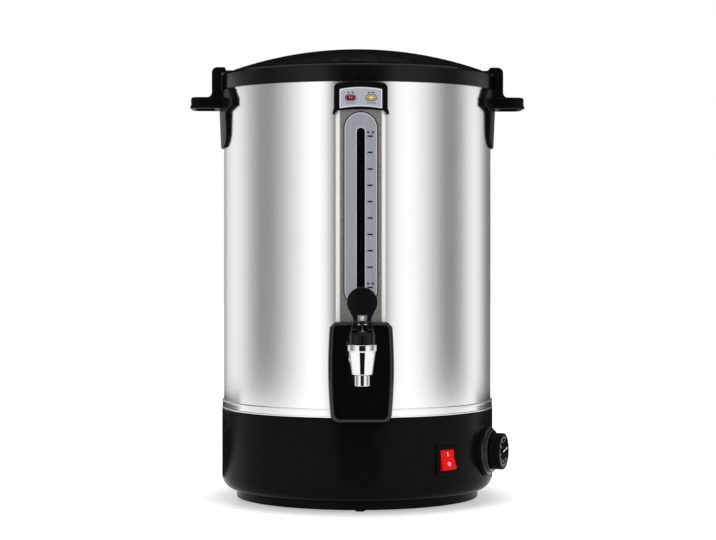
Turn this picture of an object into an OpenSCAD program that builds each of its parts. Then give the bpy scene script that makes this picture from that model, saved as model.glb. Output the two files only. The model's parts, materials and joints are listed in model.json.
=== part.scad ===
// Coffee urn: a stainless tank inside a stainless shell on a black base, with a twist-lock lid,
// a sight gauge, two lamps, a lever tap and a percolator set. Millimetres, +Z up. The origin is
// on the tank's axis, on the surface that the rubber feet stand on, and the tap faces -Y.

/* [Shell and tank] */
// Outer radius of the stainless shell
shell_r = 135; // [134:0.5:140]
// Sheet thickness of the shell
shell_t = 0.6; // [0.5:0.1:1]
// Height of the shell above the base
shell_h = 321; // [316:1:400]
// Space between the shell and the tank
wall_gap = 8.4; // [8.3:0.1:9]
// Sheet thickness of the tank's wall and top flange
tank_t = 0.8; // [0.6:0.1:1.2]
// Thickness of the tank's floor
tank_floor_t = 1; // [0.8:0.1:2]
// Width of the shell's inward foot flange
shell_flange_w = 7.4; // [7:0.1:7.8]
// Height of the ring on the tank floor that centres the percolator
well_h = 4; // [2:0.5:8]
// Thickness of the silicone ring under the tank
seat_ring_t = 2; // [1.5:0.5:4]

/* [Base] */
// Height of the base's top face above the floor
base_h = 91; // [86:1:110]
// How far the base stands out past the shell
base_proud = 1; // [0.5:0.5:2]
// Wall thickness of the base
base_wall = 2.5; // [2:0.5:3]
// Radius of the base's lower outer corner
base_corner_r = 14; // [10:1:16]
// Width of the ledge at the top of the base
ledge_w = 24; // [20:1:36]
// Width of the silicone ring under the tank
seat_ring_w = 8; // [5:0.5:12]
// Height of the foot ring under the base
foot_ring_h = 8; // [7:0.5:12]
// Plate thickness of the bottom cover
cover_t = 2.5; // [2:0.5:3]
// How far the rubber feet stand below the foot ring
foot_drop = 2; // [1:0.5:4]
// Radius of a rubber foot
foot_r = 5; // [4:0.5:6]
// Height of the stainless trim band
band_h = 8.5; // [6:0.5:12]
// How far the trim band stands out past the shell
band_proud = 2; // [1.5:0.5:3]

/* [Rim and lid] */
// How far the rim ring stands out past the shell
rim_proud = 2; // [1.5:0.5:3]
// Height of the rim ring above the tank's flange
rim_h = 16.5; // [15:0.5:20]
// Depth of the rim ring's skirt over the shell
rim_skirt = 1.5; // [1:0.5:4]
// Depth of the lid's seat below the rim's inner lip
seat_depth = 7.3; // [6.8:0.1:9]
// Gap between the lid's edge and the rim's lip
lid_gap = 1; // [0.6:0.1:1.5]
// Height of the lid's dome over its edge
dome_h = 21.8; // [18:0.2:24]
// Wall thickness of the lid
lid_wall = 2.4; // [2:0.2:3]
// Radius of the grip recess in the lid
recess_r = 38; // [34:1:44]
// Depth of the grip recess at the centre
recess_depth = 16; // [12:1:17]
// Width of the grip bar across the recess
grip_bar_w = 22; // [16:1:26]
// Angle that one locking lug covers
lug_angle = 9; // [6:0.5:12]
// Angle that one turning tab covers, on the lid's edge beside each handle
tab_angle = 16; // [12:1:20]
// Turn of the lid from open to locked
lock_turn = 25; // [15:1:40]

/* [Handles] */
// How far a handle reaches out past the shell
handle_reach = 33.5; // [30:0.5:45]
// Half width of the plate's widest part
handle_half_w = 63.5; // [62:0.5:68]
// Half width of the grip
grip_half_w = 26; // [24:1:36]
// Half width of the strap below the grip
strap_half_w = 46; // [36:1:48]
// Height of the grip
grip_h = 11.3; // [10.5:0.1:14]
// Length of the strap below the grip
strap_drop = 39.8; // [32:0.1:50]
// Thickness of the plate on the shell
plate_t = 4.5; // [3.5:0.5:6]
// Half width of the upright block
block_half_w = 21; // [14:1:23]
// Depth of the finger hollow under the grip
finger_depth = 7; // [5:0.5:8]

/* [Gauge and lamps] */
// Width of the gauge channel
channel_w = 47.3; // [44:0.1:50]
// How far the channel's face stands in front of the shell
channel_proud = 6; // [5.6:0.1:7]
// Sheet thickness of the channel
channel_t = 1.2; // [0.8:0.1:1.4]
// Width of the scale plate
scale_w = 33; // [26:0.2:36]
// Thickness of the scale plate
scale_t = 0.8; // [0.6:0.1:1]
// Width of the slot in front of the sight tube
slot_w = 7.9; // [6:0.1:9]
// Height of the sight tube's axis behind the channel's face
tube_back = 7.4; // [7:0.1:7.6]
// Outer radius of the sight tube
tube_r = 4.75; // [4.5:0.05:4.8]
// Wall thickness of the sight tube
tube_wall = 1.5; // [1:0.1:2]
// Height of the lamp housing at its middle
lamp_box_h = 26.8; // [26:0.1:32]
// How far the lamp housing's two lower tips reach down past its middle
lamp_foot = 4.5; // [2:0.5:6]
// How far the lamp housing stands out past each side of the channel
lamp_box_side = 1.8; // [1.8:0.1:5]
// How far the lamp housing's face stands in front of the shell
lamp_box_proud = 8.5; // [8:0.1:10]
// Distance of each lamp from the middle
lamp_x = 9.7; // [8:0.1:12]
// Length of a lamp's lens
lens_l = 9.2; // [7:0.1:10]
// Height of a lamp's lens
lens_h = 4.9; // [4:0.1:6]

/* [Tap] */
// Distance of the tap's axis in front of the shell
tap_reach = 55; // [50:1:70]
// Height of the shank's axis above the base
shank_z = 59; // [56:1:70]
// Radius of the shank
shank_r = 7; // [6.6:0.1:7.4]
// Radius of the shank's bore
shank_bore_r = 4.5; // [3.5:0.1:5]
// Radius of the tap's top collar
collar_r = 13.6; // [13:0.1:15]
// Length of the spout below the body
spout_l = 10; // [8:0.5:20]
// Outer radius of the spout
spout_r = 7.1; // [6.6:0.1:8]
// Radius of the spout's bore
spout_bore_r = 4.5; // [3.5:0.1:5]
// Outer radius of the bonnet
bonnet_r = 12; // [11:0.1:13]
// Height of the bonnet
bonnet_h = 11.7; // [11:0.1:14]
// Radius of the valve stem
stem_r = 2.2; // [2:0.1:2.5]
// Lift of the stem per radian of lever
cam_reach = 6; // [5:0.1:7]
// Radius of the lever's paddle
paddle_r = 14.2; // [12:0.1:16]
// Height of the paddle's centre over the lever pin
paddle_z = 20.9; // [20:0.1:30]
// Width of the tap guard
guard_w = 62; // [60:0.5:70]
// Height of the tap guard
guard_h = 95; // [94:0.5:96]
// How far the guard reaches down past the base's top face
guard_drop = 3; // [2:0.5:8]
// How far the guard's face stands in front of the shell
guard_proud = 22; // [19:0.5:28]
// Wall thickness of the guard
guard_wall = 2.2; // [1.8:0.1:3]
// Turns of the tap's spring
spring_turns = 5; // [3:1:7]

/* [Controls] */
// Direction of the rocker switch, degrees right of the tap
switch_angle = 37.3; // [30:0.1:42]
// Height of the rocker switch above the floor
switch_z = 48; // [42:0.1:56]
// Width of the switch's bezel
bezel_w = 26; // [25:0.5:28]
// Height of the switch's bezel
bezel_h = 29; // [28:0.5:32]
// Half the angle that the rocker tips through
rocker_tilt = 15; // [8:1:16]
// Direction of the thermostat knob, degrees right of the tap
knob_angle = 68.2; // [66:0.1:80]
// Height of the thermostat knob above the floor
knob_z = 51; // [48:0.5:54]
// Radius of the thermostat knob
knob_r = 18; // [15:0.5:20]
// Height of the thermostat knob
knob_h = 10.6; // [9:0.1:16]
// Radius of the ring behind the knob
escutcheon_r = 23.75; // [21:0.25:25]
// Height of the power inlet above the floor
inlet_z = 48; // [42:1:56]
// Direction of the reset button, degrees right of the tap
reset_angle = 145; // [140:1:152]
// Travel of the reset button
reset_travel = 2; // [1:0.5:3]

/* [Percolator] */
// Outer radius of the percolator's tube
pump_tube_r = 5; // [4.5:0.1:6]
// How much shorter than the shell the percolator's tube is
pump_tube_short = 10; // [8:1:26]
// Outer radius of the brew basket
basket_r = 80; // [60:1:100]
// Depth of the brew basket
basket_h = 100; // [60:1:110]
// The shell's height less the height of the basket's floor above the tank floor
basket_drop = 123; // [122:1:141]
// Radius of the percolator's foot
pump_foot_r = 19; // [15:0.5:24]

/* [Heater] */
// Radius of the heater plate
heater_r = 76; // [72:1:90]
// Thickness of the heater plate
heater_t = 6; // [4:0.5:8]
// Ring radius of the boiling element
element_r = 58; // [54:1:62]
// Ring radius of the keep-warm element
warm_r = 34; // [28:1:36]

/* [Fits] */
// Clearance between pieces that are fixed to each other
fit = 0.05; // [0.02:0.01:0.1]
// Radial clearance of a shaft in its bearing
run = 0.06; // [0.03:0.01:0.1]
// Gap between pieces that lift off or turn past each other
part_gap = 0.3; // [0.2:0.05:0.5]

/* [Hidden] */
$fn = 96;

// Radii that follow from the shell
base_r = shell_r + base_proud;
tank_r = shell_r - shell_t - wall_gap;
foot_ring_r = base_r - base_corner_r;
ledge_in_r = base_r - ledge_w;
band_r = shell_r + band_proud;
rim_r = shell_r + rim_proud;
shell_flange_r = shell_r - shell_t - shell_flange_w;

// Heights, from the floor up
base_z = foot_drop + foot_ring_h;
tank_z = base_h + seat_ring_t;
floor_z = tank_z + tank_floor_t;
shell_top = base_h + shell_h;
flange_top = shell_top + tank_t;

// Small parts that several pieces share
screw_r = 2;
screw_head_r = 3.8;
screw_head_h = 2.4;
screw_clear = 0.3;
small_screw_r = 1.5;
small_head_r = 2.7;

// Rim ring and lid
rim_bottom = shell_top - rim_skirt;
lip_top = flange_top + rim_h;
lip_drop = 1.9;
rim_round = 2.5;
lip_r = tank_r + 1.6;
seat_z = lip_top - seat_depth;
seat_in_r = tank_r - tank_t - 1.7;
lid_r = lip_r - lid_gap;
gasket_t = 2.5;
gasket_w = 4.4;
lid_bottom = seat_z + part_gap + gasket_t + 0.1;
lid_edge_z = lip_top + 0.9;
dome_top = lid_edge_z + dome_h;
dome_r = (lid_r * lid_r + dome_h * dome_h) / (2 * dome_h);
dome_fn = 720;
lug_t = 1.8;
lug_out_r = lip_r + 2.9;
tab_r = shell_r - 2.2;
tab_t = 1;
groove_clear = 0.5;
plate_z = lid_bottom - 0.1;
lid_plate_t = 0.8;
lid_plate_r = lid_r - gasket_w - 0.9;
lid_boss_r = 5;
lid_boss_ring = 72;
vent_r = 3;
vent_y = 92;

// Handles
grip_top = rim_bottom - 7.2;
grip_z = grip_top - grip_h;
strap_z = grip_z - strap_drop;
strap_round = 16;
block_out = handle_reach - 21.9;
block_top = lip_top + 4.3;
hook_in = 1.8;
handle_screw_turn = 6.5;
handle_screw_z = grip_z + grip_h / 2;
handle_screw_l = 7;
finger_half_w = grip_half_w - 8;
grip_wall = 5;

// Gauge, from the front of the channel backwards
channel_y = -(shell_r + channel_proud);
tube_y = channel_y + tube_back;
trough_half_w = 7;
trough_wall = 1;
trough_y = -(tank_r + 1.8);
shank_level = base_h + shank_z;
tee_r = 13;
tee_front = channel_y;
tee_back = -(tank_r + 1);
tee_socket_r = tube_back - 0.4;
tee_socket_z = shank_level + 16;
tube_bottom = shank_level + 9;
lamp_box_w = channel_w + 2 * lamp_box_side;
lamp_box_top = rim_bottom - 0.3;
lamp_bar_z = lamp_box_top - lamp_box_h;
lamp_box_z = lamp_bar_z - lamp_foot;
lamp_round = 5;
lamp_bar_r = 200;
lamp_arch = 2.6;
lamp_arch_r = lamp_box_w * lamp_box_w / 8 / lamp_arch;
lamp_wall = 1.5;
lamp_front = -(shell_r + lamp_box_proud);
lamp_level = lamp_box_top - 16;
fascia_w = 40.7;
fascia_h = 18.4;
fascia_t = 0.8;
channel_top = lamp_bar_z + 7.3;
channel_bottom = base_h - guard_drop + guard_h - 6;
scale_top = lamp_bar_z - 1.7;
scale_bottom = channel_bottom + 19;
slot_top = scale_top - 15.6;
trough_top = channel_top - 3;
trough_bottom = tee_socket_z + 0.3;
plug_h = 12;
tube_top = trough_top - plug_h;
lead_x = 16;
lead_y = -sqrt(pow(shell_flange_r + 2.4, 2) - lead_x * lead_x);
lead_wire_r = 0.9;
wire_r = 1.3;
foot_plug_r = 2;

// Tap, from the seat up
tap_y = -(shell_r + tap_reach);
seat_level = shank_level - 5;
body_bottom = seat_level - 9.2;
collar_top = shank_level + 13.8;
collar_h = 6.5;
cone_top_r = collar_r - 1.1;
cone_bottom_r = 9.5;
chamber_r = 9;
bonnet_top = collar_top + bonnet_h;
bonnet_slope_h = 3.4;
spring_r = 5.2;
spring_wire = 0.5;
spring_top = bonnet_top - 5.2;
spring_bottom = seat_level + 9.4;
pin_rise = 5.85;
pin_r = 1.5;
pin_z = bonnet_top + 0.15 + pin_rise;
stem_head_z = pin_z + 4;
stem_head_h = 4.5;
lever_slot_w = 8.8;
lever_half_w = 10.6;
neck_half_w = 8.5;
guard_front = -(shell_r + guard_proud);
guard_bottom = base_h - guard_drop;
guard_side_r = 500;
rosette_t = 3;

// Controls
ledge_t = 2.5;
pad_r = 25;
pad_face = base_r + 1.4;
pad_back = base_r - 4.5;
stat_w = 34;
stat_d = 22;
bushing_r = 4.8;
shaft_r = 3;
button_r = 3;
escutcheon_step = 3.4;
knob_base = pad_face + 6;
rocker_w = 16.6;
rocker_r = 10.4;
pivot_r = base_r - 1;
pivot_pin_r = 1.5;
inlet_face = base_r + 0.6;
inlet_w = 28;
inlet_hh = 20;
inlet_plate_w = 50;
inlet_plate_h = 23;
inlet_back = base_r - 27;
socket_w = 24.4;
socket_h = 16.4;
socket_back = base_r - 14;

// Heater: the part of a turn that each element leaves open
boiling_gap = 30;
warming_gap = 50;

// Percolator
pump_tube_h = shell_h - pump_tube_short;
basket_floor = floor_z + shell_h - basket_drop;
basket_wall = 0.8;
basket_hole_r = pump_tube_r + 0.6;
cover_z = basket_floor + basket_h + part_gap;

// A point at angle turn right of the tap and height z, with the child's +Z pointing outwards
module outward(turn, z) { rotate([0, 0, turn]) translate([0, 0, z]) rotate([90, 0, 0]) children(); }

// A profile in Y and Z, carried along +X from x0 over length l
module along_x(x0, l) { translate([x0, 0, 0]) rotate([90, 0, 90]) linear_extrude(l) children(); }

// A profile in X and Z, carried from the front face at y0 backwards over length l
module from_front(y0, l) { translate([0, y0 + l, 0]) rotate([90, 0, 0]) linear_extrude(l) children(); }

module tube(ro, ri, z0, z1) {
    translate([0, 0, z0]) difference() {
        cylinder(r = ro, h = z1 - z0);
        translate([0, 0, -1]) cylinder(r = ri, h = z1 - z0 + 2);
    }
}

// A hollow profile between two radii and two heights, turned through an angle about Z
module arc_ring(ro, ri, z0, z1, start, angle) {
    rotate([0, 0, start]) rotate_extrude(angle = angle)
        translate([ri, z0]) square([ro - ri, z1 - z0]);
}

// A wire of radius r: a round bar from each point to the next, and a ball at each bend
module wire(points, r) {
    for (i = [0 : len(points) - 2]) let (d = points[i + 1] - points[i]) translate(points[i]) {
        rotate([0, acos(d[2] / norm(d)), atan2(d[1], d[0])]) cylinder(r = r, h = norm(d), $fn = 24);
        if (i > 0) sphere(r = r + 0.02, $fn = 24);
    }
}

// A pan-head screw whose head rests on z = 0 and whose shank goes up
module screw(length, r = screw_r, head_r = screw_head_r) {
    arm = 0.68 * head_r;
    translate([0, 0, -screw_head_h]) difference() {
        cylinder(r = head_r, h = screw_head_h);
        for (a = [0, 90]) rotate([0, 0, a]) translate([-arm, -0.4, -1]) cube([2 * arm, 0.8, 2]);
    }
    cylinder(r = r, h = length);
}

module quarter_turns(r, start) {
    for (a = [0 : 90 : 270]) rotate([0, 0, start + a]) translate([0, -r, 0]) children();
}

module stadium(l, h) {
    square([l - h, h], center = true);
    for (s = [-1, 1]) translate([s * (l - h) / 2, 0]) circle(d = h);
}

// Shell, tank and base

module shell_screw_places() { quarter_turns(base_r - base_wall - small_head_r - 0.4, 45) children(); }

module cover_screw_places() { quarter_turns(ledge_in_r + 3.2, 45) children(); }

module lead_places() { for (x = [-lead_x, lead_x]) translate([x, lead_y, 0]) children(); }

module outer_shell() {
    color("gainsboro") difference() {
        union() {
            tube(shell_r, shell_r - shell_t, base_h, shell_top);
            tube(shell_r - shell_t / 2, shell_flange_r, base_h, base_h + shell_t);
        }
        // window for the gauge's trough, and the round opening for the tee below it
        translate([-trough_half_w - 0.6, -shell_r - 1, trough_bottom - 6])
            cube([2 * trough_half_w + 1.2, 12, trough_top - trough_bottom + 8]);
        outward(0, shank_level) translate([0, 0, tank_r]) cylinder(r = tee_r + 1, h = 20);
        for (side = [90, 270], t = [-1, 1])
            outward(side + t * handle_screw_turn, handle_screw_z)
                translate([0, 0, tank_r]) cylinder(r = screw_r + screw_clear, h = 20);
        for (x = [-lamp_x, lamp_x]) translate([x, -shell_r, lamp_level])
            rotate([90, 0, 0]) cylinder(r = 2.6, h = 8, center = true);
        shell_screw_places() translate([0, 0, base_h - 1])
            cylinder(r = small_screw_r + screw_clear, h = 3);
        lead_places() translate([0, 0, base_h - 1]) cylinder(r = 1.6, h = 3);
    }
}

module inner_tank() {
    color("silver") difference() {
        union() {
            tube(tank_r, tank_r - tank_t, tank_z, flange_top);
            translate([0, 0, tank_z]) cylinder(r = tank_r, h = tank_floor_t);
            tube(shell_r, tank_r - tank_t, shell_top, flange_top);
            tube(pump_foot_r + 2.2, pump_foot_r + 1, floor_z - 0.5, floor_z + well_h);
            // studs welded under the floor, which hold the heater plate
            for (a = [0 : 120 : 240]) rotate([0, 0, a]) translate([0, heater_r - 8, tank_z - 16])
                cylinder(r = 2.5, h = 16.2);
        }
        outward(0, shank_level) translate([0, 0, tank_r - 10]) cylinder(r = shank_r + 0.3, h = 20);
    }
}

module tank_seat_ring() { color("dimgray") tube(tank_r, tank_r - seat_ring_w, base_h, tank_z); }

module shell_screws() {
    color("silver") shell_screw_places() translate([0, 0, base_h - ledge_t]) {
        screw(ledge_t + shell_t + 4, small_screw_r, small_head_r);
        // nut on the foot flange, inside the wall
        translate([0, 0, ledge_t + shell_t]) cylinder(r = 3, h = 2.4, $fn = 6);
    }
}

module trim_band() {
    bead_r = band_proud / 2;
    color("gainsboro") rotate_extrude() {
        translate([shell_r + fit, base_h]) square([band_proud - fit - 0.6, band_h - 0.5]);
        translate([shell_r + bead_r + fit / 2, base_h + band_h - bead_r]) circle(r = bead_r - fit / 2);
        translate([shell_r + bead_r + fit / 2, base_h + bead_r]) circle(r = bead_r - fit / 2);
    }
}

module base_profile() {
    corner = base_corner_r;
    difference() {
        union() {
            translate([ledge_in_r, base_z]) square([foot_ring_r - ledge_in_r, base_h - base_z]);
            translate([foot_ring_r - 1, base_z + corner]) square([corner + 1, base_h - base_z - corner]);
            intersection() {
                translate([foot_ring_r, base_z + corner]) circle(r = corner);
                translate([foot_ring_r - 1, base_z]) square([corner + 2, corner + 1]);
            }
        }
        // the hollow inside
        translate([ledge_in_r - 1, base_z + base_wall])
            square([foot_ring_r - ledge_in_r + 1, base_h - ledge_t - base_z - base_wall]);
        translate([foot_ring_r - 1, base_z + corner])
            square([corner + 1 - base_wall, base_h - ledge_t - base_z - corner]);
        intersection() {
            translate([foot_ring_r, base_z + corner]) circle(r = corner - base_wall);
            translate([foot_ring_r - 1, base_z]) square([corner + 2, corner + 1]);
        }
    }
}

module base_housing() {
    color([0.07, 0.07, 0.08]) difference() {
        union() {
            rotate_extrude() base_profile();
            // flat pads for the knob, the reset button and the inlet
            outward(knob_angle, knob_z) translate([0, 0, pad_back])
                cylinder(r = pad_r, h = pad_face - pad_back);
            outward(reset_angle, inlet_z) translate([0, 0, pad_back])
                cylinder(r = 11, h = inlet_face - pad_back);
            outward(180, inlet_z) translate([-28, -14, pad_back]) cube([56, 28, inlet_face - pad_back]);
            // bosses for the bottom cover's screws
            cover_screw_places() translate([0, 0, base_z + base_wall - 0.1]) cylinder(r = 4.1, h = 9);
        }
        cover_screw_places() translate([0, 0, base_z - 1]) cylinder(r = screw_r + fit, h = 10.5);
        shell_screw_places() translate([0, 0, base_h - ledge_t - 1])
            cylinder(r = small_screw_r + screw_clear, h = ledge_t + 2);
        lead_places() translate([0, 0, base_h - ledge_t - 1]) cylinder(r = 1.6, h = ledge_t + 2);
        outward(switch_angle, switch_z)
            translate([-bezel_w / 2 + 2, -bezel_h / 2 + 2, base_r - 10]) cube([bezel_w - 4, bezel_h - 4, 20]);
        outward(knob_angle, knob_z) translate([0, 0, pad_back - 1])
            cylinder(r = bushing_r + screw_clear, h = 20);
        outward(reset_angle, inlet_z) translate([0, 0, pad_back - 1])
            cylinder(r = bushing_r + screw_clear, h = 20);
        outward(180, inlet_z) translate([-inlet_w / 2 - 0.2, -inlet_hh / 2 - 0.2, pad_back - 1])
            cube([inlet_w + 0.4, inlet_hh + 0.4, 20]);
    }
}

module foot_places() { quarter_turns(foot_ring_r - cover_t - foot_r - 1, 0) children(); }

module bottom_cover() {
    color([0.09, 0.09, 0.1]) difference() {
        union() {
            tube(foot_ring_r, foot_ring_r - cover_t, foot_drop, base_z);
            translate([0, 0, base_z - cover_t]) cylinder(r = foot_ring_r - 0.5, h = cover_t);
        }
        cover_screw_places() translate([0, 0, base_z - cover_t - 1])
            cylinder(r = screw_r + screw_clear, h = cover_t + 2);
        foot_places() translate([0, 0, base_z - cover_t - 1]) cylinder(r = foot_plug_r, h = cover_t + 2);
        // slots that let the heat out
        for (a = [15 : 30 : 345]) rotate([0, 0, a]) for (r = [58, 76])
            translate([0, r, base_z - cover_t - 1]) linear_extrude(cover_t + 2) stadium(20, 4);
    }
}

module cover_screws() {
    color("silver") cover_screw_places() translate([0, 0, base_z - cover_t]) screw(9);
}

module rubber_feet() {
    color([0.13, 0.13, 0.13]) foot_places() {
        difference() {
            cylinder(r = foot_r, h = base_z - cover_t);
            translate([0, 0, -1]) cylinder(r = foot_r - 2, h = 2);
        }
        // plug pressed into the bottom cover
        cylinder(r = foot_plug_r, h = base_z);
    }
}

// Rim ring and handles

module rim_profile() {
    polygon([[shell_r + 0.2, rim_bottom], [rim_r, rim_bottom], [rim_r, lip_top - lip_drop - rim_round],
        [rim_r - rim_round, lip_top - lip_drop], [lip_r, lip_top], [lip_r, seat_z], [seat_in_r, seat_z],
        [seat_in_r, flange_top], [shell_r + 0.2, flange_top]]);
    translate([rim_r - rim_round, lip_top - lip_drop - rim_round]) circle(r = rim_round);
}

module rim_ring() {
    color([0.06, 0.06, 0.07]) difference() {
        rotate_extrude() rim_profile();
        // groove for the lid's lugs, entered through a notch at each side
        for (s = [0, 180]) {
            arc_ring(lug_out_r + groove_clear, lip_r - 1, lid_bottom - groove_clear,
                lid_bottom + lug_t + groove_clear, s - lug_angle / 2 - 1, lug_angle + lock_turn + 2);
            arc_ring(lug_out_r + groove_clear, lip_r - 1, lid_bottom, lip_top + 2,
                s - lug_angle / 2 - 1, lug_angle + 2);
        }
    }
}

module handle_plate_outline() {
    shoulder = rim_bottom - 0.2;
    translate([-strap_half_w, strap_z + strap_round])
        square([2 * strap_half_w, grip_z + 1 - strap_z - strap_round]);
    translate([-strap_half_w + strap_round, strap_z])
        square([2 * (strap_half_w - strap_round), strap_round + 1]);
    for (s = [-1, 1]) translate([s * (strap_half_w - strap_round), strap_z + strap_round])
        circle(r = strap_round);
    polygon([for (s = [1, -1], p = [0 : 3]) let (q = s > 0 ? p : 3 - p)
        [s * [strap_half_w, handle_half_w, handle_half_w, handle_half_w - 8.5][q],
         [grip_z - 5, grip_z, grip_z + 7.2, shoulder][q]]]);
}

module block_profile() {
    outer = shell_r + block_out;
    round_r = 5.5;
    fillet = 5;
    difference() {
        union() {
            translate([rim_r + part_gap, grip_z])
                square([outer - rim_r - part_gap, block_top - round_r - grip_z]);
            translate([shell_r - 1, grip_z]) square([4, rim_bottom - part_gap - grip_z]);
            translate([shell_r - hook_in, lip_top - lip_drop + 0.7])
                square([block_out - round_r + hook_in, block_top - lip_top + lip_drop - 0.7]);
            intersection() {
                translate([outer - round_r, block_top - round_r]) circle(r = round_r);
                translate([outer - round_r, block_top - round_r]) square(round_r);
            }
            translate([outer - 1, grip_top - 0.1]) square([fillet + 1, fillet + 0.1]);
        }
        translate([outer + fillet, grip_top + fillet]) circle(r = fillet);
    }
}

module grip_outline(inset) {
    reach = shell_r + handle_reach - inset;
    corner = 10 - inset;
    half = grip_half_w - inset;
    polygon([[shell_r - 6, -half], [reach - corner, -half], [reach, -half + corner],
        [reach, half - corner], [reach - corner, half], [shell_r - 6, half]]);
    for (s = [-1, 1]) translate([reach - corner, s * (half - corner)]) circle(r = corner);
}

module handle() {
    difference() {
        union() {
            intersection() {
                tube(shell_r + plate_t, shell_r + 0.1, strap_z - 1, rim_bottom);
                along_x(0, rim_r + 10) handle_plate_outline();
            }
            translate([0, block_half_w, 0]) rotate([90, 0, 0])
                linear_extrude(2 * block_half_w) block_profile();
            translate([0, 0, grip_z]) linear_extrude(2.4) grip_outline(0);
            translate([0, 0, grip_z + 2.4]) linear_extrude(grip_h - 2.4) grip_outline(0.9);
        }
        translate([0, 0, strap_z - 2]) cylinder(r = shell_r + 0.1, h = rim_bottom - strap_z + 2);
        // finger hollow under the grip
        translate([shell_r + plate_t + grip_wall, -finger_half_w, grip_z - 1])
            cube([handle_reach - plate_t - 2 * grip_wall, 2 * finger_half_w, finger_depth + 1]);
        for (t = [-1, 1]) outward(90 + t * handle_screw_turn, handle_screw_z)
            translate([0, 0, shell_r - 1]) cylinder(r = screw_r + fit, h = handle_screw_l + 1.6);
    }
}

module handle_right() { color([0.05, 0.05, 0.055]) handle(); }

module handle_left() { color([0.05, 0.05, 0.055]) rotate([0, 0, 180]) handle(); }

module handle_screws() {
    color("silver") for (side = [90, 270], t = [-1, 1])
        outward(side + t * handle_screw_turn, handle_screw_z)
            translate([0, 0, shell_r - shell_t - 0.1]) screw(handle_screw_l);
}

// Gauge and lamps

module gauge_channel() {
    half = channel_w / 2;
    color("darkgray") difference() {
        translate([-half, channel_y, channel_bottom])
            cube([channel_w, channel_proud + 4, channel_top - channel_bottom]);
        translate([-half + channel_t, channel_y + channel_t, channel_bottom - 1])
            cube([channel_w - 2 * channel_t, channel_proud + 4, channel_top - channel_bottom + 2]);
        from_front(channel_y - 1, 4) slot_outline(slot_w);
        translate([0, 0, channel_bottom - 1])
            cylinder(r = shell_r + 0.1, h = channel_top - channel_bottom + 2);
    }
}

module slot_outline(w) {
    bottom = scale_bottom + w;
    translate([-w / 2, bottom]) square([w, slot_top - w / 2 - bottom]);
    for (z = [bottom, slot_top - w / 2]) translate([0, z]) circle(d = w);
}

module gauge_scale() {
    half = scale_w / 2;
    color("lightsteelblue") from_front(channel_y - scale_t, scale_t) difference() {
        union() {
            translate([-half, scale_bottom + half]) square([scale_w, scale_top - scale_bottom - scale_w]);
            for (z = [scale_bottom + half, scale_top - half]) translate([0, z]) circle(r = half);
        }
        slot_outline(slot_w);
    }
}

module gauge_trough() {
    w = trough_half_w;
    front = channel_y + channel_t + 0.1;
    color([0.04, 0.04, 0.04]) translate([0, 0, trough_bottom]) difference() {
        translate([-w, front, 0]) cube([2 * w, trough_y - front, trough_top - trough_bottom]);
        translate([-w + trough_wall, front - 1, -1])
            cube([2 * (w - trough_wall), trough_y - front - trough_wall + 1, trough_top - trough_bottom + 2]);
    }
}

module sight_tube() {
    color([0.75, 0.85, 0.9, 0.4]) translate([0, tube_y, 0])
        tube(tube_r, tube_r - tube_wall, tube_bottom, tube_top);
}

module tube_plug() {
    color([0.1, 0.1, 0.1]) translate([0, tube_y, tube_top]) difference() {
        union() {
            translate([0, 0, fit]) cylinder(r = tube_r, h = plug_h - 2);
            translate([0, 0, -6]) cylinder(r = tube_r - tube_wall - fit, h = 6.1);
        }
        // vent that lets the level rise and fall
        translate([0, 0, -7]) cylinder(r = 1, h = plug_h + 8);
    }
}

module tube_seal() {
    color([0.8, 0.3, 0.2]) translate([0, tube_y, 0])
        tube(tee_socket_r - 1 - fit, tube_r + fit, tee_socket_z - 5, tee_socket_z);
}

module gauge_tee() {
    color("silver") difference() {
        union() {
            translate([0, tee_back, shank_level]) rotate([90, 0, 0])
                cylinder(r = tee_r, h = tee_back - tee_front);
            translate([0, tube_y, shank_level]) cylinder(r = tee_socket_r, h = 16);
        }
        translate([0, tee_back + 1, shank_level]) rotate([90, 0, 0])
            cylinder(r = shank_r + fit, h = tee_back - tee_front + 2);
        translate([0, tube_y, tube_bottom]) cylinder(r = tube_r + fit, h = 20);
        translate([0, tube_y, tee_socket_z - 5]) cylinder(r = tee_socket_r - 1, h = 20);
        translate([0, tube_y, shank_level]) cylinder(r = 2.5, h = 20);
        // flat back on the socket, in line with the tee's own
        translate([-tee_socket_r, tee_back, shank_level]) cube([2 * tee_socket_r, tee_socket_r, 20]);
    }
}

module lamp_outline() {
    half = lamp_box_w / 2;
    arch_z = lamp_box_top - lamp_arch_r;
    corner_x = half - lamp_round;
    corner_z = arch_z + sqrt(pow(lamp_arch_r - lamp_round, 2) - corner_x * corner_x);
    share = lamp_arch_r / (lamp_arch_r - lamp_round);
    meet_x = corner_x * share;
    meet_z = arch_z + (corner_z - arch_z) * share;
    right = [[half - 4.1, lamp_bar_z - 1], [half - 0.2, lamp_box_z + 0.3], [half + 1.6, lamp_box_z],
        [half, lamp_bar_z + 1.5], [half, corner_z], [meet_x, meet_z], [meet_x, lamp_box_top + 1]];
    difference() {
        union() {
            intersection() {
                translate([0, arch_z]) circle(r = lamp_arch_r);
                polygon(concat(right, [for (i = [len(right) - 1 : -1 : 0]) [-right[i][0], right[i][1]]]));
            }
            for (s = [-1, 1]) translate([s * corner_x, corner_z]) circle(r = lamp_round);
        }
        intersection() {
            translate([0, lamp_bar_z - lamp_bar_r]) circle(r = lamp_bar_r);
            translate([4.3 - half, lamp_bar_z - 4]) square([lamp_box_w - 8.6, 6]);
        }
    }
}

module fascia_outline() {
    half = fascia_w / 2;
    level = lamp_level;
    arch_r = fascia_w * fascia_w / 8 / 2;
    difference() {
        intersection() {
            translate([0, level + fascia_h / 2 + 1 - arch_r]) circle(r = arch_r);
            translate([-half, level - fascia_h / 2 - 1]) square([fascia_w, fascia_h + 2]);
        }
        translate([0, level - fascia_h / 2 + 1 - arch_r]) circle(r = arch_r);
    }
}

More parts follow.
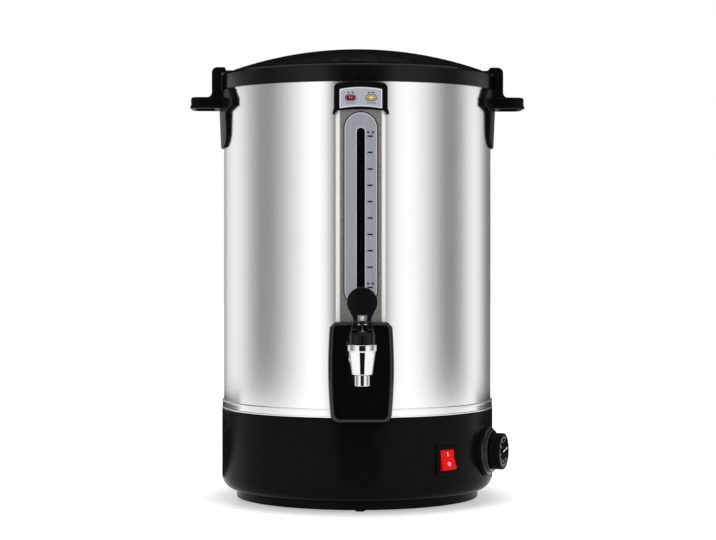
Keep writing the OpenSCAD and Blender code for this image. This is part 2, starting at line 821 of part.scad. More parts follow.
module lamp_housing() {
    color([0.05, 0.05, 0.05]) difference() {
        from_front(lamp_front, lamp_box_proud + 6) lamp_outline();
        translate([-lamp_box_w / 2 + lamp_wall, lamp_front + lamp_wall, lamp_box_z - 1])
            cube([lamp_box_w - 2 * lamp_wall, lamp_box_proud + 6, lamp_box_top - 6.6 - lamp_box_z + 1]);
        from_front(lamp_front - 1, fascia_t + 1) fascia_outline();
        for (x = [-lamp_x, lamp_x]) translate([x, 0, lamp_level])
            from_front(lamp_front - 1, 4) stadium(lens_l + 0.2, lens_h + 0.2);
        translate([0, 0, lamp_box_z - 1]) cylinder(r = shell_r + 0.1, h = lamp_box_top - lamp_box_z + 2);
    }
}

module lamp_fascia() {
    color("lightsteelblue") from_front(lamp_front + 0.05, fascia_t - 0.05) difference() {
        intersection() {
            fascia_outline();
            translate([-fascia_w / 2 + fit, lamp_box_z]) square([fascia_w - 2 * fit, lamp_box_h]);
        }
        for (x = [-lamp_x, lamp_x]) translate([x, lamp_level]) stadium(lens_l + 0.2, lens_h + 0.2);
    }
}

module lamp(x) {
    translate([x, 0, lamp_level]) {
        from_front(lamp_front - 1, 1 + fascia_t + lamp_wall) stadium(lens_l, lens_h);
        // the lamp's body goes back through the shell
        translate([0, lamp_front + fascia_t + lamp_wall - 0.1, 0]) rotate([-90, 0, 0])
            cylinder(r = 2.3, h = lamp_box_proud + 0.6);
    }
}

module lamp_heating() { color("darkred") lamp(-lamp_x); }

module lamp_keep_warm() { color("gold") lamp(lamp_x); }

function around(r, turn, z) = [r * sin(turn), -r * cos(turn), z];

// Leads inside the wall and the base. Each ends just short of what it is joined to.
module wiring() {
    back = inlet_back - 7;
    end_z = tank_z - heater_t - 23.4;
    boil_turn = boiling_gap / 2;
    warm_turn = warming_gap / 2;
    wall_run = base_r - 34;
    plate_run = heater_r + 10;
    element_end = around(element_r, 180 - boil_turn, end_z);
    color("firebrick") {
        for (s = [-1, 1])
            wire([[s * lamp_x, -(shell_r - shell_t - 3.6), lamp_level], [s * lead_x, lead_y, lamp_level],
                [s * lead_x, lead_y, base_h - 12],
                around(base_r - 20, switch_angle - 16, switch_z + 14 + 6 * s),
                around(base_r - 25.2, switch_angle - 2, switch_z + 5 * s)], lead_wire_r);
        wire([[6, back, inlet_z - 1], around(wall_run, 150, inlet_z - 8),
            around(wall_run, 100, inlet_z - 12), around(wall_run, 60, switch_z - 8),
            around(base_r - 25.2, switch_angle + 3, switch_z - 6)], wire_r);
        wire([around(base_r - 25.2, switch_angle + 3, switch_z + 6), around(wall_run, 50, switch_z + 12),
            around(pad_back - stat_d - 1.4, knob_angle - 5, knob_z - 2)], wire_r);
        wire([around(pad_back - stat_d - 1.4, knob_angle + 5, knob_z - 2), around(plate_run, 110, knob_z + 2),
            around(element_r, 180 - boil_turn, end_z - 8), element_end], wire_r);
        wire([element_end + [0, 0, -2], around(warm_r, 180 - warm_turn, end_z - 4),
            around(warm_r, 180 - warm_turn, end_z)], wire_r);
    }
    color("royalblue") {
        wire([[-7, back, inlet_z - 1], around(plate_run, 188, inlet_z),
            around(element_r, 180 + boil_turn, end_z - 8),
            around(element_r, 180 + boil_turn, end_z)], wire_r);
        wire([around(element_r, 180 + boil_turn, end_z - 4), around(warm_r, 180 + warm_turn, end_z - 4),
            around(warm_r, 180 + warm_turn, end_z)], wire_r);
    }
    color("limegreen") wire([[0, back, inlet_z + 3], [0, heater_r + 4, inlet_z + 16],
        [0, heater_r - 8, tank_z - 17.6]], wire_r);
}

// Tap and its guard

module guard_outline(inset) {
    half = guard_w / 2 - inset;
    top = guard_bottom + guard_h - inset;
    bottom = guard_bottom + inset;
    middle = guard_bottom + 0.55 * guard_h;
    foot_round = 8;
    shoulder = 5;
    intersection() {
        for (s = [-1, 1]) translate([s * (guard_side_r - half), middle]) circle(r = guard_side_r, $fn = 720);
        union() {
            translate([-half, bottom + foot_round]) square([2 * half, top - bottom - foot_round - shoulder]);
            polygon([[-half, top - shoulder], [half, top - shoulder], [half - shoulder - 1, top],
                [-half + shoulder + 1, top]]);
            translate([-half + foot_round + 2, bottom])
                square([2 * half - 2 * foot_round - 4, foot_round + 1]);
            for (s = [-1, 1]) translate([s * (half - foot_round - 2), bottom + foot_round])
                circle(r = foot_round);
        }
    }
}

module tap_guard() {
    depth = guard_proud + 8;
    notch = channel_w / 2 + 0.4;
    color([0.03, 0.03, 0.035]) difference() {
        union() {
            difference() {
                from_front(guard_front, depth) guard_outline(0);
                from_front(guard_front + guard_wall, depth) guard_outline(guard_wall);
            }
            // boss that the tap's rosette clamps against the tee
            translate([0, guard_front + guard_wall - 0.1, shank_level]) rotate([-90, 0, 0])
                cylinder(r = tee_r - 1, h = tee_front - guard_front - guard_wall + 0.1);
        }
        translate([0, guard_front - 1, shank_level]) rotate([-90, 0, 0])
            cylinder(r = shank_r + 0.2, h = guard_proud + 2);
        // notch in the top wall for the gauge channel
        translate([-notch, channel_y - scale_t - 0.3, channel_bottom - 1]) cube([2 * notch, 20, 20]);
        // the back follows the shell, the trim band and the base
        translate([0, 0, base_h - 20]) cylinder(r = shell_r + 0.1, h = guard_h + 40);
        translate([0, 0, base_h - 0.2]) cylinder(r = band_r + 0.1, h = band_h + 0.4);
        translate([0, 0, base_h - 20]) cylinder(r = base_r + 0.1, h = 20.1);
    }
}

module around_tap() { translate([0, tap_y, 0]) children(); }

module tap_body() {
    rosette_y = guard_front - rosette_t;
    shank_end = -(tank_r - tank_t - 12);
    color("whitesmoke") difference() {
        union() {
            around_tap() {
                translate([0, 0, body_bottom]) cylinder(r1 = cone_bottom_r, r2 = cone_top_r,
                    h = collar_top - collar_h - body_bottom);
                translate([0, 0, collar_top - collar_h]) cylinder(r1 = cone_top_r, r2 = collar_r, h = 1.1);
                translate([0, 0, collar_top - collar_h + 1.1]) cylinder(r = collar_r, h = collar_h - 1.1);
            }
            translate([0, tap_y + 4, shank_level]) rotate([-90, 0, 0])
                cylinder(r = shank_r, h = shank_end - tap_y - 4);
            translate([0, rosette_y, shank_level]) rotate([-90, 0, 0]) cylinder(r = tee_r - 1, h = rosette_t);
        }
        around_tap() {
            translate([0, 0, seat_level]) cylinder(r = chamber_r, h = 40);
            translate([0, 0, body_bottom - 1]) cylinder(r = spout_bore_r, h = 12);
            translate([0, 0, body_bottom - 1]) cylinder(r = spout_r - 1.6, h = 6);
        }
        translate([0, tap_y, shank_level]) rotate([-90, 0, 0])
            cylinder(r = shank_bore_r, h = shank_end - tap_y + 1);
        // side hole that feeds the gauge
        translate([0, tube_y, shank_level]) cylinder(r = 2, h = shank_r + 1);
    }
}

module tap_spout() {
    color("whitesmoke") around_tap() difference() {
        union() {
            translate([0, 0, body_bottom - 0.3 - spout_l]) cylinder(r = spout_r, h = spout_l);
            translate([0, 0, body_bottom - 0.4]) cylinder(r = spout_r - 1.6 - fit, h = 5.2);
        }
        translate([0, 0, body_bottom - spout_l - 2]) cylinder(r = spout_bore_r, h = spout_l + 10);
    }
}

module tap_bonnet() {
    color([0.05, 0.05, 0.05]) around_tap() difference() {
        union() {
            translate([0, 0, collar_top]) cylinder(r = bonnet_r, h = bonnet_h - bonnet_slope_h);
            translate([0, 0, bonnet_top - bonnet_slope_h])
                cylinder(r1 = bonnet_r, r2 = bonnet_r - 1.4, h = bonnet_slope_h);
            translate([0, 0, collar_top - 5]) cylinder(r = chamber_r - fit, h = 6);
        }
        translate([0, 0, collar_top - 6]) cylinder(r = spring_r + 1.2, h = spring_top - collar_top + 6);
        translate([0, 0, spring_top - 1]) cylinder(r = stem_r + run, h = 20);
        // grip flutes
        for (a = [0 : 30 : 330]) rotate([0, 0, a]) translate([bonnet_r + 0.6, 0, collar_top + 1.5])
            cylinder(r = 1.4, h = bonnet_h - bonnet_slope_h - 3);
    }
}

module shank_nut() {
    color("goldenrod") difference() {
        translate([0, -(tank_r - tank_t - 3), shank_level]) rotate([-90, 0, 0])
            cylinder(r = 12.5, h = 6, $fn = 6);
        translate([0, -tank_r, shank_level]) rotate([-90, 0, 0]) cylinder(r = shank_r + 0.02, h = 20);
    }
}

module shank_seals() {
    inner_r = tank_r - tank_t;
    color([0.85, 0.85, 0.8]) difference() {
        union() {
            intersection() {
                translate([0, -inner_r - 1, shank_level]) rotate([-90, 0, 0]) cylinder(r = tee_r, h = 3.9);
                translate([0, 0, shank_level - 20]) cylinder(r = inner_r - 0.03, h = 40);
            }
            difference() {
                translate([0, tee_back, shank_level]) rotate([-90, 0, 0]) cylinder(r = tee_r - 1, h = 3);
                translate([0, 0, shank_level - 20]) cylinder(r = tank_r + 0.03, h = 40);
            }
        }
        translate([0, tee_back - 1, shank_level]) rotate([-90, 0, 0]) cylinder(r = shank_r + 0.02, h = 10);
    }
}

module tap_stem() {
    color("silver") around_tap() difference() {
        union() {
            translate([0, 0, seat_level + 3.6]) cylinder(r = stem_r, h = stem_head_z - seat_level - 3.6);
            // flange that the spring pushes on
            translate([0, 0, spring_bottom - 1.2]) cylinder(r = spring_r + 0.6, h = 1.2);
        }
        translate([-20, 0, pin_z]) rotate([0, 90, 0]) cylinder(r = pin_r, h = 40);
    }
}

module stem_nut() {
    color("whitesmoke") around_tap() translate([0, 0, stem_head_z]) cylinder(r = 3, h = stem_head_h);
}

module seat_cup() {
    color([0.85, 0.85, 0.8]) around_tap() difference() {
        translate([0, 0, seat_level + 0.1]) cylinder(r = chamber_r - 2, h = 4.5);
        translate([0, 0, seat_level + 3.6]) cylinder(r = stem_r, h = 3);
    }
}

module lever_pin() {
    color("silver") around_tap() translate([-neck_half_w + 0.3, 0, pin_z]) rotate([0, 90, 0])
        cylinder(r = pin_r, h = 2 * neck_half_w - 0.6);
}

// The spring is one tube of six sides, carried round a helix
module tap_spring() {
    steps = 16;
    sides = 6;
    rings = spring_turns * steps;
    height = spring_top - spring_bottom - 2 * spring_wire - 0.1;
    points = [for (i = [0 : rings], k = [0 : sides - 1]) let (a = i * 360 / steps, t = k * 360 / sides)
        [(spring_r + spring_wire * cos(t)) * cos(a), (spring_r + spring_wire * cos(t)) * sin(a),
         spring_wire * sin(t) + i * height / rings]];
    last = rings * sides;
    faces = concat([[for (k = [0 : sides - 1]) k]], [[for (k = [sides - 1 : -1 : 0]) last + k]],
        [for (p = [0 : sides : last - 1], k = [0 : sides - 1]) let (m = (k + 1) % sides)
            [p + k, p + sides + k, p + sides + m]],
        [for (p = [0 : sides : last - 1], k = [0 : sides - 1]) let (m = (k + 1) % sides)
            [p + k, p + sides + m, p + m]]);
    color("gray") around_tap() translate([0, 0, spring_bottom + spring_wire + 0.05])
        polyhedron(points = points, faces = faces);
}

module lever_face() {
    heel = -pin_rise;
    translate([0, paddle_z]) circle(r = paddle_r);
    polygon([[-lever_half_w, heel + 1.2], [-neck_half_w, 2.5], [-neck_half_w, 6.5],
        [-paddle_r * 0.82, paddle_z - paddle_r * 0.57], [paddle_r * 0.82, paddle_z - paddle_r * 0.57],
        [neck_half_w, 6.5], [neck_half_w, 2.5], [lever_half_w, heel + 1.2]]);
}

module tap_lever() {
    slot = lever_slot_w / 2;
    head_swing = sqrt(pow(stem_head_z + stem_head_h - pin_z, 2) + 9) + 0.4;
    color([0.04, 0.04, 0.045]) translate([0, tap_y, pin_z]) difference() {
        union() {
            // neck and paddle
            from_front(-4.5, 9) lever_face();
            // heel: a round cam in front of the pin lifts the stem as the lever comes forward
            intersection() {
                for (s = [-1, 1]) translate([s * (slot + lever_half_w) / 2, 0, 0])
                    rotate([90, 0, 90]) linear_extrude(lever_half_w - slot, center = true) cam_profile();
                from_front(-20, 40) polygon([[-lever_half_w, -pin_rise - 1], [lever_half_w, -pin_rise - 1],
                    [neck_half_w, 4.6], [neck_half_w, 9], [-neck_half_w, 9], [-neck_half_w, 4.6]]);
            }
        }
        translate([-slot, -20, -pin_rise - 1]) cube([lever_slot_w, 40, pin_rise + 1 + head_swing]);
        translate([-20, 0, 0]) rotate([0, 90, 0]) cylinder(r = pin_r + run, h = 40);
        // the paddle is dished on both faces
        for (s = [-1, 1]) translate([0, s * (2.6 + 60), paddle_z]) sphere(r = 60, $fn = 180);
    }
}

module cam_profile() {
    translate([-cam_reach, 0]) circle(r = pin_rise);
    translate([-cam_reach, -pin_rise]) square([cam_reach + 2, pin_rise + 5]);
    translate([0, -2]) square([4.5, 7]);
}

// Lid

module dome_region(inset) {
    intersection() {
        translate([0, dome_top - dome_r]) circle(r = dome_r - inset, $fn = dome_fn);
        square([lid_r - inset, 1000]);
    }
}

module lid_cover() {
    cup = recess_r + lid_wall;
    cup_floor = dome_top - recess_depth;
    color([0.05, 0.05, 0.055]) difference() {
        union() {
            rotate_extrude() difference() {
                intersection() {
                    dome_region(0);
                    translate([0, lid_bottom]) square([lid_r, 100]);
                }
                dome_region(lid_wall);
            }
            // foot of the lid's edge, which the gasket lies against
            tube(lid_r, lid_r - gasket_w, lid_bottom, lid_bottom + 2.4);
            // cup of the grip recess, and the bar across it
            intersection() {
                rotate_extrude() dome_region(lid_wall / 2);
                translate([0, 0, cup_floor - lid_wall]) cylinder(r = cup, h = 60);
            }
            for (a = [0 : 120 : 240]) rotate([0, 0, a + 30]) intersection() {
                translate([lid_boss_ring, 0, plate_z + 0.1]) cylinder(r = lid_boss_r, h = 40);
                rotate_extrude() dome_region(lid_wall / 2);
            }
            for (s = [0, 180])
                arc_ring(lug_out_r, lid_r - 2, lid_bottom, lid_bottom + lug_t, s - lug_angle / 2, lug_angle);
            // tabs over the rim, one beside each handle, to turn the lid by
            for (s = [0, 180])
                arc_ring(tab_r, lid_r - 2, lip_top + 0.2, lip_top + 0.2 + tab_t, s - tab_angle / 2, tab_angle);
        }
        // the two halves of the recess, on either side of the bar
        for (s = [-1, 1]) intersection() {
            translate([0, 0, cup_floor]) cylinder(r = recess_r, h = 60);
            translate([-100, s > 0 ? grip_bar_w / 2 : -200 - grip_bar_w / 2, cup_floor]) cube([200, 200, 60]);
        }
        // the bar is hollow underneath
        translate([-recess_r + 6, -grip_bar_w / 2 + lid_wall, cup_floor - 10])
            cube([2 * recess_r - 12, grip_bar_w - 2 * lid_wall, recess_depth + 10 - lid_wall - 2]);
        translate([0, vent_y, lid_bottom]) cylinder(r = vent_r, h = 60);
        for (a = [0 : 120 : 240]) rotate([0, 0, a + 30]) translate([lid_boss_ring, 0, plate_z])
            cylinder(r = small_screw_r, h = 8);
    }
}

module lid_plate() {
    color("silver") difference() {
        translate([0, 0, plate_z - lid_plate_t + 0.1]) cylinder(r = lid_plate_r, h = lid_plate_t);
        translate([0, vent_y, plate_z - 5]) cylinder(r = vent_r, h = 10);
        for (a = [0 : 120 : 240]) rotate([0, 0, a + 30]) translate([lid_boss_ring, 0, plate_z - 5])
            cylinder(r = small_screw_r + screw_clear, h = 10);
    }
}

module lid_screws() {
    color("silver") for (a = [0 : 120 : 240]) rotate([0, 0, a + 30])
        translate([lid_boss_ring, 0, plate_z - lid_plate_t + 0.1]) screw(7.5, small_screw_r, small_head_r);
}

module lid_gasket() {
    bottom = seat_z + part_gap;
    color([0.6, 0.6, 0.6]) tube(lid_r - 0.4, lid_r - gasket_w - 0.2, bottom, bottom + gasket_t);
}

// Percolator

module percolator_stem() {
    foot_z = floor_z + part_gap;
    color("silver") difference() {
        union() {
            translate([0, 0, foot_z]) cylinder(r = pump_tube_r, h = pump_tube_h);
            translate([0, 0, foot_z]) cylinder(r = pump_foot_r, h = 3);
            translate([0, 0, foot_z + 3]) cylinder(r1 = pump_foot_r, r2 = pump_tube_r + 1, h = 12);
            // stop that carries the basket
            translate([0, 0, basket_floor - part_gap - 2]) cylinder(r = pump_tube_r + 5, h = 2);
        }
        translate([0, 0, foot_z - 1]) cylinder(r = pump_tube_r - 1, h = pump_tube_h + 2);
        translate([0, 0, foot_z - 1]) cylinder(r1 = pump_foot_r - 1, r2 = pump_tube_r - 1, h = 13);
        // ports that let the water in under the foot
        for (a = [0 : 60 : 300]) rotate([0, 0, a]) translate([pump_foot_r, 0, foot_z - 1])
            rotate([0, 90, 0]) cylinder(r = 2.5, h = 6, center = true);
    }
}

module sieve(rings, pitch, hole_r) {
    for (k = [0 : rings - 1]) for (i = [0 : 8 + 4 * k - 1])
        rotate([0, 0, i * 360 / (8 + 4 * k)]) translate([18 + pitch * k, 0, -5])
            cylinder(r = hole_r, h = 10, $fn = 24);
}

module brew_basket() {
    color("silver") difference() {
        union() {
            tube(basket_r, basket_r - basket_wall, basket_floor, basket_floor + basket_h);
            tube(basket_r, basket_hole_r, basket_floor, basket_floor + basket_wall);
            tube(basket_hole_r + basket_wall, basket_hole_r, basket_floor, basket_floor + basket_h - 2);
        }
        translate([0, 0, basket_floor]) sieve(4, basket_r / 7, 1.6);
    }
}

module basket_cover() {
    color("silver") difference() {
        union() {
            tube(basket_r + 1.4, pump_tube_r + 1, cover_z, cover_z + basket_wall);
            tube(basket_r - basket_wall - 1, basket_r - basket_wall - 1.8, cover_z - 5, cover_z + 0.1);
            tube(pump_tube_r + 5, pump_tube_r + 1, cover_z, cover_z + 4);
        }
        translate([0, 0, cover_z]) sieve(3, basket_r / 6, 1.6);
    }
}

// Heater

module heater_plate() {
    color("lightgray") difference() {
        translate([0, 0, tank_z - heater_t]) cylinder(r = heater_r, h = heater_t);
        for (a = [0 : 120 : 240]) rotate([0, 0, a]) translate([0, heater_r - 8, tank_z - 20])
            cylinder(r = 2.5 + 0.2, h = 30);
        for (r = [element_r, warm_r]) groove(r);
    }
}

module groove(r) {
    rotate_extrude() translate([r, tank_z - heater_t - 1]) circle(r = 3.6);
}

module element(r, gap) {
    rotate([0, 0, 90 + gap / 2]) rotate_extrude(angle = 360 - gap)
        translate([r, tank_z - heater_t - 1]) circle(r = 3.5);
    for (s = [-1, 1]) rotate([0, 0, 90 + s * gap / 2]) translate([r, 0, tank_z - heater_t - 22])
        cylinder(r = 2, h = 21);
}

module boiling_element() { color("dimgray") element(element_r, boiling_gap); }

module warming_element() { color("dimgray") element(warm_r, warming_gap); }

module heater_nuts() {
    color("silver") for (a = [0 : 120 : 240]) rotate([0, 0, a])
        translate([0, heater_r - 8, tank_z - heater_t - 4]) difference() {
            cylinder(r = 4.6, h = 4, $fn = 6);
            translate([0, 0, -1]) cylinder(r = 2.5 + 0.02, h = 6);
        }
}

// Controls

module thermostat() {
    color([0.85, 0.83, 0.78]) outward(knob_angle, knob_z) difference() {
        union() {
            translate([-stat_w / 2, -stat_w / 2, pad_back - stat_d]) cube([stat_w, stat_w, stat_d]);
            translate([0, 0, pad_back - 1]) cylinder(r = bushing_r, h = knob_base - 0.8 - pad_back + 1);
        }
        translate([0, 0, pad_back - 18]) cylinder(r = shaft_r + run, h = 40);
    }
}

module bushing_nut() {
    difference() {
        cylinder(r = 8, h = 2.6, $fn = 6);
        translate([0, 0, -1]) cylinder(r = bushing_r + 0.02, h = 5);
    }
}

module bushing_nuts() {
    color("goldenrod") {
        outward(knob_angle, knob_z) translate([0, 0, pad_face]) bushing_nut();
        outward(reset_angle, inlet_z) translate([0, 0, inlet_face]) bushing_nut();
    }
}

module thermal_cutout() {
    color([0.85, 0.83, 0.78]) outward(reset_angle, inlet_z) difference() {
        union() {
            translate([0, 0, pad_back - 16]) cylinder(r = 10, h = 16);
            translate([0, 0, pad_back - 1]) cylinder(r = bushing_r, h = inlet_face + 3 - pad_back + 1);
        }
        translate([0, 0, pad_back - 14]) cylinder(r = button_r + run, h = 40);
    }
}

module reset_button() {
    bottom = pad_back - 13.5 + reset_travel;
    color("crimson") outward(reset_angle, inlet_z) translate([0, 0, bottom])
        cylinder(r = button_r, h = inlet_face + 4.2 + reset_travel - bottom);
}

module thermostat_shaft() {
    color("silver") outward(knob_angle, knob_z) translate([0, 0, pad_back - 17.8])
        cylinder(r = shaft_r, h = knob_base + knob_h - 3 - pad_back + 17.8);
}

module thermostat_knob() {
    color([0.08, 0.08, 0.09]) outward(knob_angle, knob_z) difference() {
        union() {
            translate([0, 0, knob_base]) cylinder(r = knob_r, h = knob_h - 1);
            translate([0, 0, knob_base + knob_h - 1]) cylinder(r1 = knob_r, r2 = knob_r - 1, h = 1);
        }
        translate([0, 0, knob_base - 1]) cylinder(r = shaft_r, h = knob_h - 2);
        // finger flutes
        for (a = [0 : 20 : 340]) rotate([0, 0, a]) translate([knob_r + 0.8, 0, knob_base + 1.5])
            cylinder(r = 1.5, h = knob_h);
    }
}

module knob_escutcheon() {
    color([0.06, 0.06, 0.07]) outward(knob_angle, knob_z) difference() {
        union() {
            translate([0, 0, pad_face]) cylinder(r = escutcheon_r, h = escutcheon_step - 0.6);
            translate([0, 0, pad_face]) cylinder(r = escutcheon_r - 2.6, h = knob_base - pad_face - 0.5);
        }
        translate([0, 0, pad_face - 1]) cylinder(r = 9.6, h = 10);
    }
}

module thermostat_bulb() {
    x = heater_r + 8;
    z = tank_z - 3.4;
    turn = knob_angle;
    reach = pad_back - stat_d - 2;
    box = [reach * sin(turn), -reach * cos(turn), knob_z + 8];
    color("goldenrod") {
        translate([x, -24, z]) rotate([-90, 0, 0]) cylinder(r = 3, h = 48);
        wire([[x, -23, z], [x, -34, z - 6], [box[0], box[1], z - 6], box], 0.8);
    }
}

module switch_body() {
    half = bezel_h / 2;
    color([0.03, 0.03, 0.03]) outward(switch_angle, switch_z) difference() {
        union() {
            translate([-bezel_w / 2, -half, base_r - 2]) cube([bezel_w, bezel_h, 4]);
            translate([-bezel_w / 2 + 2.2, -half + 2.2, base_r - 24])
                cube([bezel_w - 4.4, bezel_h - 4.4, 25]);
        }
        translate([-rocker_w / 2 - 0.3, -rocker_r - 0.2, pivot_r - rocker_r - 1])
            cube([rocker_w + 0.6, 2 * rocker_r + 0.4, 30]);
        translate([-bezel_w / 2 + 0.8, 0, pivot_r]) rotate([0, 90, 0])
            cylinder(r = pivot_pin_r + run, h = bezel_w - 1.6);
        // the bezel's back follows the base's wall
        rotate([90, 0, 0]) translate([0, 0, -40]) bezel_relief();
    }
}

module bezel_relief() {
    difference() {
        cylinder(r = base_r + fit, h = 80);
        translate([-bezel_w / 2 + 2.2, 0, 40 - bezel_h / 2 + 2.2])
            cube([bezel_w - 4.4, 200, bezel_h - 4.4]);
    }
}

// The rocker's top is two faces that meet over the pivot
module rocker_profile() {
    rotate(-rocker_tilt) intersection() {
        circle(r = rocker_r);
        polygon([[-20, 6.6], [0, 4.2], [20, 6.6], [20, -6], [-20, -6]]);
    }
}

module switch_rocker() {
    color("red") outward(switch_angle, switch_z) translate([0, 0, pivot_r]) {
        translate([-rocker_w / 2, 0, 0]) rotate([90, 0, 90]) linear_extrude(rocker_w) rocker_profile();
        translate([-rocker_w / 2 - 1.4, 0, 0]) rotate([0, 90, 0])
            cylinder(r = pivot_pin_r, h = rocker_w + 2.8);
    }
}

module power_inlet() {
    color([0.04, 0.04, 0.04]) outward(180, inlet_z) difference() {
        union() {
            translate([-inlet_plate_w / 2, -inlet_plate_h / 2, inlet_face])
                cube([inlet_plate_w, inlet_plate_h, 2]);
            translate([-inlet_w / 2, -inlet_hh / 2, inlet_back])
                cube([inlet_w, inlet_hh, inlet_face - inlet_back + 1]);
        }
        translate([-socket_w / 2, -socket_h / 2, socket_back]) cube([socket_w, socket_h, 40]);
        for (p = pin_places()) translate([p[0] - 1, p[1] - 2, inlet_back - 1]) cube([2, 4, 40]);
    }
}

function pin_places() = [[-7, -1], [7, -1], [0, 3]];

module inlet_pins() {
    color("goldenrod") outward(180, inlet_z) for (p = pin_places())
        translate([p[0] - 1, p[1] - 2, inlet_back - 6]) cube([2, 4, inlet_face - inlet_back + 3]);
}

outer_shell();
inner_tank();
tank_seat_ring();
shell_screws();
rim_ring();
trim_band();
base_housing();
bottom_cover();
cover_screws();
rubber_feet();
handle_left();
handle_right();
handle_screws();
gauge_channel();
gauge_scale();
gauge_trough();
sight_tube();
tube_plug();
tube_seal();
gauge_tee();
lamp_housing();
lamp_fascia();
lamp_heating();
lamp_keep_warm();
wiring();
tap_guard();
tap_body();
tap_spout();
tap_bonnet();
shank_nut();
shank_seals();
tap_stem();
stem_nut();
seat_cup();
lever_pin();
tap_spring();
tap_lever();
lid_cover();
lid_plate();
lid_screws();
lid_gasket();
percolator_stem();
brew_basket();
basket_cover();
heater_plate();
boiling_element();
warming_element();
heater_nuts();
thermostat();
thermostat_bulb();
thermostat_shaft();
thermostat_knob();
knob_escutcheon();
thermal_cutout();
reset_button();
bushing_nuts();
switch_body();
switch_rocker();
power_inlet();
inlet_pins();
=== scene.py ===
# %% [markdown]
# A coffee urn, dressed for its picture
#
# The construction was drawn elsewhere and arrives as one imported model: every tank, nut and lead is
# already at its real size and place. This lesson gives that model its looks. Surfaces that catch the
# light are remade here with soft edges, and everything else keeps its shape and gets a finish.

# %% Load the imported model
import json
import math

import bmesh
import bpy
import numpy as np
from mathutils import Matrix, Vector

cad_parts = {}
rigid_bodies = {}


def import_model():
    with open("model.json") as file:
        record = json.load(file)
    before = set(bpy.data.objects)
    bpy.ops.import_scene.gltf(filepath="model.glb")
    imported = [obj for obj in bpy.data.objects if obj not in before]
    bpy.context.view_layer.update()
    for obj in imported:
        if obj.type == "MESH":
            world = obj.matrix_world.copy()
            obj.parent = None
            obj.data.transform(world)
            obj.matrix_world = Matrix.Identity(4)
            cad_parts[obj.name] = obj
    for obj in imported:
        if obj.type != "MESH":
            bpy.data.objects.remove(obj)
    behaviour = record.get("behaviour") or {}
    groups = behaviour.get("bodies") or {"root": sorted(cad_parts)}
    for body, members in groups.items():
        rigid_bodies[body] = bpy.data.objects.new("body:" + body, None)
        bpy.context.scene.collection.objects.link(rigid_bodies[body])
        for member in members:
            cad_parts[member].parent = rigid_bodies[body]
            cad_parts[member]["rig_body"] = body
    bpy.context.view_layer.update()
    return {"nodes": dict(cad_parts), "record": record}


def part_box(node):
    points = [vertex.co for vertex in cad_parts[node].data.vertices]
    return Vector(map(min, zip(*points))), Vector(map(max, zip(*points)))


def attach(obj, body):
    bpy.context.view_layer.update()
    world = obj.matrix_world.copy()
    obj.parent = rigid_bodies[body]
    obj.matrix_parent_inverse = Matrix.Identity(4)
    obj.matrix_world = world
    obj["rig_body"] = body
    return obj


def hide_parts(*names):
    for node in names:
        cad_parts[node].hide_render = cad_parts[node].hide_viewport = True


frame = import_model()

nodes = frame["nodes"]
slot_of = {part["node"]: part["material_slot"] for part in frame["record"]["subparts"]}
print("nodes:", len(nodes), "finishes:", len(set(slot_of.values())))

# %% [markdown]
# The camera
#
# The picture was taken from about two metres with a long lens, level, from just under the middle of
# the urn. The urn was turned by less than two degrees, so the camera stands that much to one side.
# Blender can lift the frame with a shift, which keeps upright edges upright, and that is what a level
# camera needs here. The lens follows from how many pixels a metre takes at the urn's distance.

# %% Place the camera
IMAGE_WIDTH, PIXELS_PER_SLOPE, SENSOR_WIDTH = 716, 1994.0, 36.0
CAMERA_DISTANCE, CAMERA_HEIGHT, SIDE_STEP = 2.025, 0.260, math.radians(1.35)
SHIFT_SIDE, SHIFT_UP = 0.0010, -0.0420

scene = bpy.context.scene
camera_data = bpy.data.cameras.new("camera")
camera_data.sensor_width = SENSOR_WIDTH
camera_data.lens = PIXELS_PER_SLOPE * SENSOR_WIDTH / IMAGE_WIDTH
camera_data.shift_x, camera_data.shift_y = SHIFT_SIDE, SHIFT_UP
camera = bpy.data.objects.new("camera", camera_data)
camera.location = (-CAMERA_DISTANCE * math.sin(SIDE_STEP), -CAMERA_DISTANCE * math.cos(SIDE_STEP), CAMERA_HEIGHT)
camera.rotation_euler = (math.pi / 2, 0, -SIDE_STEP)
scene.collection.objects.link(camera)
scene.camera = camera
scene.view_settings.view_transform = "Standard"
print("lens:", round(camera_data.lens, 2), "mm")

# %% [markdown]
# Steps of a material
#
# The world, the floor and every finish are chains of small steps, so one function adds a step and
# another fills its sockets, with a value or with what an earlier step gives.


# %% Add steps and fill their sockets
def fill(step, *links):
    """Fill a step's sockets: each takes a value, an output, or another step's first output."""
    for socket, value in links:
        if isinstance(value, bpy.types.Node):
            value = value.outputs[0]
        if isinstance(value, bpy.types.NodeSocket):
            step.id_data.links.new(value, step.inputs[socket])
        else:
            step.inputs[socket].default_value = value
    return step


def add_step(tree, kind, *links, **settings):
    """A new step of a kind, with its properties set and its sockets filled."""
    step = tree.nodes.new("ShaderNode" + kind)
    for key, value in settings.items():
        setattr(step, key, value)
    return fill(step, *links)


def ranged(tree, value, low, high, start=0.3, end=0.7):
    """The part of a value from start to end, carried to the range low to high."""
    return add_step(tree, "MapRange", ("Value", value), ("From Min", start), ("From Max", end), ("To Min", low),
                    ("To Max", high))


def position(tree):
    """The place of a point in its object, in metres."""
    return add_step(tree, "TexCoord").outputs["Object"]


def shown_rays(tree):
    """1 for a ray from the camera, a mirror or glass, and 0 for light that only falls on something."""
    rays = add_step(tree, "LightPath").outputs
    direct = add_step(tree, "Math", (0, rays["Is Camera Ray"]), (1, rays["Is Glossy Ray"]), operation="MAXIMUM")
    return add_step(tree, "Math", (0, direct), (1, rays["Is Transmission Ray"]), operation="MAXIMUM")


